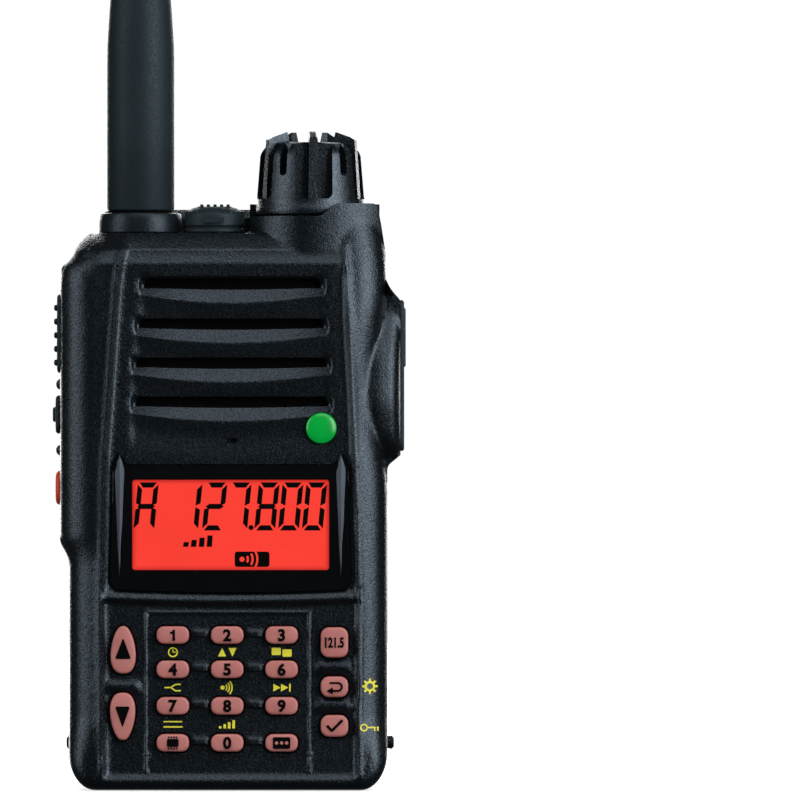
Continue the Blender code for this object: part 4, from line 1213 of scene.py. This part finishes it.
def make_key_signs(at):
    """Generic signs: arrows, a return arrow, a tick, a memory chip and three dots in a tile."""
    up = eased([(-21.4, 24.9), (-18.4, 24.9), (-19.9, 28.9)], 0.4, 3)
    sign("key_up_legend", [up], at, "key_up_cap")
    down = eased([(-21.4, 15.9), (-20.0, 11.9), (-18.6, 15.9)], 0.4, 3)
    sign("key_down_legend", [down], at, "key_down_cap")

    x, z = SIDE_KEY_X, SIDE_KEYS[1][1]
    bend = arc(x + 0.65, z, 0.75, 0.75, 90, -90, 8)
    hook = ribbon(np.vstack([[(x - 0.9, z + 0.75)], bend, [(x - 0.5, z - 0.75)]]), 0.4)
    head = [(x - 1.5, z - 0.75), (x - 0.3, z - 1.45), (x - 0.3, z - 0.05)]
    sign("key_return_legend", [hook, head], at, "key_return_cap")
    z = SIDE_KEYS[2][1]
    tick = resampled([(x - 1.4, z + 0.1), (x - 0.5, z - 0.9), (x + 1.5, z + 1.1)], 0.3, False)
    sign("key_enter_legend", [ribbon(tick, 0.5)], at, "key_enter_cap")

    x, z = KEY_COLS[0], KEY_ROWS[3]
    chip = [rounded(x - 1.1, x + 1.1, z - 0.75, z + 0.75, 0.2)]
    for leg in (-0.75, -0.25, 0.25, 0.75):
        for side in (-1, 1):
            foot, tip = sorted((z + side * 0.85, z + side * 1.25))
            chip.append(rounded(x + leg - 0.12, x + leg + 0.12, foot, tip, 0.02, 1))
    sign("key_memory_legend", chip, at, "key_memory_cap")
    x = KEY_COLS[2]
    tile = rounded(x - 1.65, x + 1.65, z - 1.1, z + 1.1, 0.35)
    sign("key_function_legend", [tile], at, "key_function_cap")
    dots = [disc(x + step, z, 0.32) for step in (-0.95, 0, 0.95)]
    sign("key_function_dots", dots, at - 0.045, "key_function_cap", ROSE, 0.02)


def drape(obj, lift):
    """Bends a print so that it lies on the moulded face, standing out of it by `lift`."""
    bm = bmesh.new()
    bm.from_mesh(obj.data)
    bmesh.ops.triangulate(bm, faces=bm.faces)
    long_edges = [e for e in bm.edges if e.calc_length() > 0.5 * MM]
    bmesh.ops.subdivide_edges(bm, edges=long_edges, cuts=1)
    rest = np.array([v.co[:] for v in bm.verts]) / MM
    ground = FRONT_Y + face_depth(rest[:, [0, 2]])
    deepest = rest[:, 1].max()
    for vert, y, floor in zip(bm.verts, rest[:, 1], ground):
        vert.co.y = (floor - lift + (y - deepest)) * MM
    bm.to_mesh(obj.data)
    bm.free()


def put(name, shapes):
    """A yellow print that lies on the moulded face."""
    drape(sign(name, shapes, 0.0, "housing", YELLOW, 0.03), 0.01)


def hoop(x, z, radius, thick):
    """A ring with a slit at its top, so that it is one outline."""
    outer = arc(x, z, radius, radius, 90, 449, 24)
    inner = arc(x, z, radius - thick, radius - thick, 449, 90, 24)
    return np.vstack([outer, inner])


def make_yellow_prints():
    """Small yellow signs under the keys and on the right flank, none of them a word."""
    left, centre, right = KEY_COLS
    line, z = 0.26, 26.15  # width of a drawn line, and height of the first row
    x = left
    hands = [ribbon([(x, z - 0.1), (x, z + 0.55)], 0.22), ribbon([(x - 0.05, z), (x + 0.5, z)], 0.22)]
    put("print_clock", [hoop(x, z, 0.95, 0.24), *hands])
    x = centre
    up = [(x - 1.75, z - 0.8), (x - 0.2, z - 0.8), (x - 0.97, z + 0.8)]
    down = [(x + 0.2, z + 0.8), (x + 0.97, z - 0.8), (x + 1.75, z + 0.8)]
    put("print_up_down", [up, down])
    x = right
    pane = rounded(x - 1.9, x - 0.15, z - 0.55, z + 0.85, 0.2, 3)
    other = rounded(x + 0.15, x + 1.9, z - 0.85, z + 0.55, 0.2, 3)
    put("print_two_panes", [pane, other])

    x, z = left, 19.45  # second row
    stem = ribbon([(x - 1.6, z), (x - 0.4, z), (x + 0.5, z + 0.6), (x + 1.5, z + 0.6)], line)
    branch = ribbon([(x - 0.4, z), (x + 0.5, z - 0.6), (x + 1.5, z - 0.6)], line)
    put("print_fork", [stem, branch])
    x = centre - 0.9
    waves = [wave(x, z, radius, 0.13, 42, 8) for radius in (0.8, 1.3, 1.8)]
    put("print_sound", [disc(x, z, 0.42), *waves])
    x = right
    skip = [[(x + s, z - 0.75), (x + 1.4 + s, z), (x + s, z + 0.75)] for s in (-1.6, -0.15)]
    put("print_skip", [*skip, rounded(x + 1.4, x + 1.7, z - 0.75, z + 0.75, 0.05, 1)])

    x, z = left, 12.5  # third row
    put("print_wide", [ribbon([(x - 1.8, z + s), (x + 1.8, z + s)], line) for s in (-0.5, 0.5)])
    bars = []
    for i in range(4):
        x = centre - 1.6 + 0.85 * i
        bars.append(rounded(x, x + 0.5, z - 0.8, z - 0.35 + 0.38 * i, 0.05, 1))
    put("print_level", bars)

    x, z = FLANK_X, SIDE_KEYS[1][1] + 0.1
    teeth = [turned_bar(x, z, 0.95, 1.45, 0.42, 45 * i) for i in range(8)]
    put("print_gear", [hoop(x, z, 1.0, 0.42), *teeth])
    z = SIDE_KEYS[2][1] - 0.3
    shaft = [rounded(x - 0.5, x + 1.7, z - 0.15, z + 0.15, 0.05, 1)]
    shaft += [rounded(x + d, x + d + 0.3, z - 0.65, z - 0.1, 0.05, 1) for d in (0.75, 1.35)]
    put("print_key", [hoop(x - 1.1, z, 0.75, 0.3), *shaft])


def turned_bar(x, z, near, far, width, degrees):
    """A short bar that points away from (x, z)."""
    t = math.radians(degrees)
    along = np.array((math.cos(t), math.sin(t)))
    return ribbon([(x, z) + along * near, (x, z) + along * far], width)


# ---------------------------------------------------------------- top
def make_knob():
    """Skirted knob: five windows in its side, a blade down the middle of each, finely moulded."""
    low, high = span("volume_knob")
    skirt, deck = low.z, high.z - 2.0
    crown = 127.0  # above the knob, where the cutters end
    bore = [(0.0005, 118.9), (3.1, 118.9), (3.1, 110.3), (3.7, 110.3), (3.7, skirt)]
    outside = [(10.0, skirt), (10.3, skirt + 0.15), (10.4, skirt + 0.5), (10.4, skirt + 1.4)]
    outside += [(10.25, skirt + 1.65), (10.25, skirt + 2.9), (9.6, deck - 2.6), (9.35, deck - 1.9)]
    outside += [(8.8, deck - 1.1), (8.0, deck - 0.4), (7.2, deck - 0.05), (6.6, deck), (0.0005, deck)]
    knob = turned("knob", KNOB, bore + outside, KNOB_RUBBER, "knob", 120)
    centre = Matrix.Translation((*(KNOB * MM), 0))
    half_turn = Matrix.Rotation(math.radians(36), 4, "Z")
    windows, blades, notches = [], [], []
    for i in range(5):
        spin = centre @ Matrix.Rotation(math.radians(4 - 90 + 72 * i), 4, "Z")
        opening, slit = rounded(-3.55, 3.55, 112.1, crown, 1.2), rounded(-0.8, 0.8, 116.5, crown, 0.75)
        windows.append(prism("window", opening, 7.3, 14.0, axis="X", body=None))
        windows[-1].data.transform(spin)
        blades.append(knob_blade())
        blades[-1].data.transform(spin)
        notches.append(prism("notch", slit, 7.7, 13.0, axis="X", body=None))
        notches[-1].data.transform(spin @ half_turn)
    cut(knob, *windows)
    join(knob, *blades)
    cut(knob, *notches)
    shade(knob, 32)
    soften(knob, 0.14, 2, 32)
    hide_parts("volume_knob")


def knob_blade():
    """One tapering blade along +X from the knob's axis, with a crest that falls outwards."""
    top = span("volume_knob")[1].z
    rings = []
    for z0, z1, r0, r1, half in (
        (111.0, 111.0, 4.7, 9.6, 1.1),
        (123.4, 123.4, 4.7, 8.8, 0.8),
        (top, top - 1.0, 5.0, 7.9, 0.6),
    ):
        rings.append([(r0, -half, z0), (r0, half, z0), (r1, half, z1), (r1, -half, z1)])
    return loft("blade", rings, None, None)


def make_antenna():
    """Rubber whip, thick and straight at its foot, then a long taper to a thin round-ended rod."""
    foot, top = span("antenna_whip")[0].z, span("antenna_whip")[1].z
    thick, thin = 6.4, 4.05
    bore = [(0.0005, 122.3), (4.9, 122.3), (4.9, foot)]
    shape = [(5.9, foot), (6.25, foot + 0.15), (thick, foot + 0.5), (thick, 138.5), (6.35, 141.3)]
    shape += [(6.2, 144.0), (6.0, 147.1), (5.8, 150.0), (5.5, 154.0), (5.1, 159.0), (4.7, 163.2)]
    shape += [(4.4, 167.0), (4.2, 170.8), (4.1, 174.0), (thin, 181.0)]
    for t in np.linspace(0, math.pi / 2, 12):
        shape.append((thin * math.cos(t), top - thin * (1 - math.sin(t))))
    whip = turned("antenna_rubber", ANTENNA, bore + shape, RUBBER, "antenna", 72, sharp=30)
    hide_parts("antenna_whip")
    make_collar(foot)


def make_collar(whip_foot):
    """Metal collar on the deck, and a dark ring of painted shade that closes the gap under the whip."""
    low, high = span("antenna_collar")[0].z, span("antenna_collar")[1].z
    inner, ledge = 5.0, high - 1.2
    ring = [(inner, low), (7.85, low), (8.0, low + 0.15), (8.0, low + 0.9), (7.95, low + 2.2)]
    ring += [(7.75, low + 3.3), (7.6, low + 3.6), (7.3, high), (7.0, high), (6.7, high - 0.3)]
    ring += [(6.65, ledge), (inner, ledge)]
    collar = ring_of("collar", ANTENNA, ring, PAINT)
    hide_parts("antenna_collar")
    # Painted shade: a near-black ring where the gap under the whip would only show shadow.
    gap = [(inner, ledge), (6.2, ledge), (6.2, whip_foot - 0.02), (inner, whip_foot - 0.02)]
    gap_shade = ring_of("antenna_gap_shade", ANTENNA, gap, CLOTH_AND_GAP_SHADE)


def ring_of(name, centre, profile, material, body="housing", steps=72):
    """A closed profile of (radius, height) turned into a ring."""
    rings = []
    for t in np.linspace(0, 2 * math.pi, steps, endpoint=False):
        x, y = math.cos(t), math.sin(t)
        rings.append([(centre[0] + r * x, centre[1] + r * y, z) for r, z in profile])
    return loft(name, rings, material, body, closed=True, sharp=30)


def make_cap():
    """Round screw cap with a knurled band, ribs on top and a pointer in front."""
    foot, high = span("accessory_cap")[0].z, span("accessory_cap")[1].z
    x, y = CAP
    shape = [(0.0005, 109.3), (4.1, 109.3), (4.1, foot), (5.5, foot), (5.65, foot + 0.12)]
    shape += [(5.65, 106.4), (5.5, 106.55), (5.25, 106.7), (5.3, 106.9), (5.6, 107.0)]
    shape += [(5.7, 107.15), (5.7, 109.0), (5.62, 109.3), (5.3, 109.65), (4.9, 110.0)]
    shape += [(4.3, 110.35), (3.6, 110.55), (3.0, 110.65), (0.0005, 110.7)]
    cap = turned("cap_body", CAP, shape, RUBBER, "cap", 96)
    parts = []
    for i in range(5):
        left = x - 2.7 + 1.25 * i
        parts.append(box("rib", (left, y - 2.4, 110.0), (left + 0.6, y + 2.4, high)))
    pad = rounded(x - 3.2, x + 3.2, y - 2.5, y + 2.5, 1.2)
    parts.append(prism("pad", pad, 110.0, high - 0.4, axis="Z", body=None))
    parts.append(box("pointer", (x - 1.9, y - 6.1, 107.6), (x + 1.9, y - 5.0, 108.6)))
    join(cap, *parts, *cap_knurls())
    shade(cap, 32)
    soften(cap, 0.09, 2, 32)
    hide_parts("accessory_cap")


def cap_knurls(count=32):
    """Fine ribs round the cap's edge, left out behind the pointer."""
    centre = Matrix.Translation((*(CAP * MM), 0))
    knurls = []
    for number in range(count):
        t = 2 * math.pi * number / count
        if abs(math.remainder(t + math.pi / 2, 2 * math.pi)) > 0.45:
            knurls.append(box("knurl", (5.4, -0.22, 109.0), (5.68, 0.22, 109.75)))
            knurls[-1].data.transform(centre @ Matrix.Rotation(t, 4, "Z"))
    return knurls


# ---------------------------------------------------------------- sides
def side_pad(name, place, radius, face, edge, material, body, root=-29.3, crown=0.1):
    """A rubber pad that stands out of the left side."""
    y0, y1, z0, z1 = place
    outline = resampled(rounded(y0, y1, z0, z1, radius), 0.8)
    return pillow(name, outline, root, face, edge, material, "X", body, crown)


def make_side_controls():
    """Talk bar, side key and orange button on the left, with a stud at each end of the last."""
    y0, y1, z0, _ = PTT
    bar = side_pad("talk_bar_rubber", PTT, 1.4, -32.7, 0.6, RUBBER, "talk_bar")
    ribs = []
    for i in range(5):
        low = z0 + 1.4 + 2.6 * i
        shape = rounded(y0 + 1.2, y1 - 1.2, low, low + 1.2, 0.58)
        ribs.append(pillow("rib", shape, -31.5, -33.2, 0.4, None, "X", None))
    join(bar, *ribs)
    shade(bar, 40)
    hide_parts("ptt_button")

    y0, y1, z0, z1 = SIDE_KEY
    side = side_pad("side_button_rubber", SIDE_KEY, 1.4, -33.0, 0.6, RUBBER, "side_button")
    nub_face = span("side_key")[0].x
    nub = about((y0 + y1) / 2, (z0 + z1) / 2, 2.7, 2.9, 1.0)
    nub = pillow("nub", nub, -31.5, nub_face, 0.45, None, "X", None)
    join(side, nub)
    shade(side, 40)
    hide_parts("side_key")

    monitor = side_pad("monitor_rubber", MONITOR, 2.2, -33.0, 0.8, ORANGE, "monitor")
    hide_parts("monitor_button")

    for number, z in enumerate((76.9, 64.4), 1):
        dome = [(0.0005, -31.2), (1.1, -31.2)]
        dome += [(1.1 * math.cos(t), -31.9 - 1.0 * math.sin(t)) for t in np.linspace(0, math.pi / 2, 8)]
        stud = turned(f"side_stud_{number}", (-5.2, z), dome, CASE, axis="X", steps=32)
    make_jack_cover()


def make_gap_shades():
    """Dark frames of painted shade in the gaps round the battery's lid, so that no light shows through
    them.
    """
    low, high = span("battery_lid")
    outline = resampled(rounded(low.x + 1.0, high.x - 1.0, low.z + 1.0, high.z - 2.0, 2.0), 2.0)
    window = grown(outline, -2.5)
    # Painted shade: near-black sheets where the gaps would only show shadow.
    front = plate("gap_shade_chassis", outline, window, low.y - 0.22, low.y - 0.08, CLOTH_AND_GAP_SHADE)
    behind = plate("gap_shade_battery", outline, window, high.y + 0.03, high.y + 0.12, CLOTH_AND_GAP_SHADE, "battery")


def make_jack_cover():
    """Rubber cover with a framed finger grip, grooves across it and a shallow pocket; the strap at its
    hinge is not built.
    """
    y0, y1, z0, z1 = COVER
    face, high = span("jack_cover")[1].x - 0.3, span("jack_cover")[1].x
    outline = resampled(rounded(y0, y1, z0, z1, 1.5), 0.8)
    cover = pillow("cover_rubber", outline, 31.75, face, 0.5, RUBBER, "X", "cover")
    frame_outline = rounded(y0 + 1.9, y1 - 1.9, 80.2, 91.4, 1.0)
    join(cover, pillow("grip", frame_outline, 32.8, high, 0.3, None, "X", None))
    hollows = []
    for i in range(3):
        z = 83.0 + 2.7 * i
        groove = rounded(y0 + 2.7, y1 - 2.7, z, z + 0.9, 0.4)
        hollows.append(prism("groove", groove, face + 0.05, 34, axis="X", body=None))
    pocket = rounded(y0 + 1.9, y1 - 1.9, 66.6, 77.6, 1.4)
    hollows.append(prism("pocket", pocket, face - 0.25, 34, axis="X", body=None))
    cut(cover, *hollows)
    shade(cover, 35)
    soften(cover, 0.1, 2, 35)
    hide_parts("jack_cover")


# ---------------------------------------------------------------- materials of the CAD nodes
def finish_cad_nodes():
    """A material for every CAD node that still shows, and rounded edges on the larger ones."""
    by_slot = {
        "case_plastic": CASE,
        "die_cast": PAINT,
        "rubber": RUBBER,
        "gloss_black": GLOSS,
        "key_rose": ROSE,
        "display_red": RED,
        "lamp_green": LAMP_GREEN,
        "button_orange": ORANGE,
        "steel": STEEL,
        "brass": BRASS,
        "board_green": BOARD,
        "cell_sleeve": SLEEVE,
        "paper_cone": CONE,
    }
    rounds = {
        "rear_chassis": 0.35,
        "battery_case": 0.4,
        "battery_lid": 0.25,
        "battery_latch": 0.3,
        "belt_clip": 0.35,
        "clip_bracket": 0.25,
    }
    slots = {}
    for entry in frame["record"]["materials"]:
        slots.update({node: entry["slot"] for node in entry.get("nodes", [])})
    for name, node in nodes.items():
        if node.hide_render:
            continue
        node.data.materials.clear()
        node.data.materials.append(by_slot[slots.get(name, "case_plastic")])
        weld = node.modifiers.new("Weld", "WELD")
        weld.merge_threshold = 0.000001
        if name in rounds:
            soften(node, rounds[name], 3, 30)


# ---------------------------------------------------------------- stage, light and camera
EYE = Vector((32.5, -2500.0, 73.9))
FIELD = 152.4  # width of the view at the object


def make_stage():
    """Pale round floor in metres, whose far rim sweeps up beyond any camera of the object."""
    bend = [(6.0 + math.sin(t), 1.0 - math.cos(t)) for t in np.linspace(0, math.pi / 2, 10)]
    profile = [(0.02, 0.0), (0.3, 0.0), (1.0, 0.0), (3.0, 0.0), *bend, (7.0, 6.0)]
    angles = np.linspace(0, 2 * math.pi, 96, endpoint=False)
    rings = [[(r * math.cos(t), r * math.sin(t), z - 0.0002) for t in angles] for r, z in profile]
    verts, faces = lofted(rings, caps=False)
    faces = [face[::-1] for face in faces] + [tuple(range(len(angles)))]
    data = bpy.data.meshes.new("floor")
    data.from_pydata(verts, [], faces)
    floor = bpy.data.objects.new("floor", data)
    bpy.context.scene.collection.objects.link(floor)
    made, tree, shader = new_material("floor_pale", (0.86, 0.86, 0.86), 0.6)
    mottle = ramp(tree, noise(tree, 3.0), 0.84, 0.88)
    tree.links.new(mottle, shader.inputs["Base Color"])
    away = tree.nodes.new("ShaderNodeVectorMath")
    away.operation = "LENGTH"
    tree.links.new(coordinates(tree), away.inputs[0])
    glow = ramp(tree, away.outputs["Value"], 0.6, 0.98, 0.0, 0.5)
    tree.links.new(glow, shader.inputs["Emission Color"])
    shader.inputs["Emission Strength"].default_value = 1.0
    data.materials.append(made)
    data.shade_smooth()
    floor.visible_glossy = False
    floor.visible_diffuse = False


def softbox(name, azimuth, elevation, away, width, height, power, aim=(0, 0, 80)):
    """A rectangular light that looks at the object from an azimuth (0 is in front) and elevation."""
    a, e = math.radians(azimuth), math.radians(elevation)
    aim = Vector(aim) * MM
    back = Vector((math.sin(a) * math.cos(e), -math.cos(a) * math.cos(e), math.sin(e)))
    data = bpy.data.lights.new(name, "AREA")
    data.shape = "RECTANGLE"
    data.size = width
    data.size_y = height
    data.energy = power
    light = bpy.data.objects.new(name, data)
    light.location = aim + back * away
    light.visible_camera = False
    light.rotation_mode = "QUATERNION"
    light.rotation_quaternion = (-back).to_track_quat("-Z", "Y")
    bpy.context.scene.collection.objects.link(light)


def make_light():
    """Soft boxes round the object and a faint even sky, seen through a plain view transform."""
    world = bpy.data.worlds.new("studio")
    world.use_nodes = True
    background = world.node_tree.nodes["Background"]
    background.inputs["Color"].default_value = (0.9, 0.95, 1.0, 1.0)
    background.inputs["Strength"].default_value = 0.05
    bpy.context.scene.world = world
    bpy.context.scene.view_settings.view_transform = "Standard"
    # Each is its azimuth and elevation, distance, width, height and power.
    softbox("top", 8, 54, 1.1, 0.9, 0.5, 3.6)
    softbox("right", 50, 14, 1.2, 0.8, 1.0, 15.0)
    softbox("left", -64, 14, 1.2, 0.55, 1.0, 6.0)
    softbox("back_left", -165, 12, 1.4, 0.6, 0.9, 8.0)
    softbox("back_right", 163, 16, 1.4, 0.6, 0.9, 9.0)


def make_camera():
    """A long lens level with the display, so that the face is seen almost without perspective."""
    data = bpy.data.cameras.new("camera")
    data.lens = data.sensor_width * -EYE.y / FIELD
    data.clip_start, data.clip_end = 0.1, 20.0
    camera = bpy.data.objects.new("camera", data)
    camera.location = EYE * MM
    camera.rotation_euler = (math.pi / 2, 0, 0)
    bpy.context.scene.collection.objects.link(camera)
    bpy.context.scene.camera = camera


# ---------------------------------------------------------------- building
make_camera()
make_stage()
make_light()
make_front_case()
make_grille_cloth()
make_display()
make_keys()
make_yellow_prints()
make_knob()
make_antenna()
make_cap()
make_side_controls()
make_gap_shades()
finish_cad_nodes()
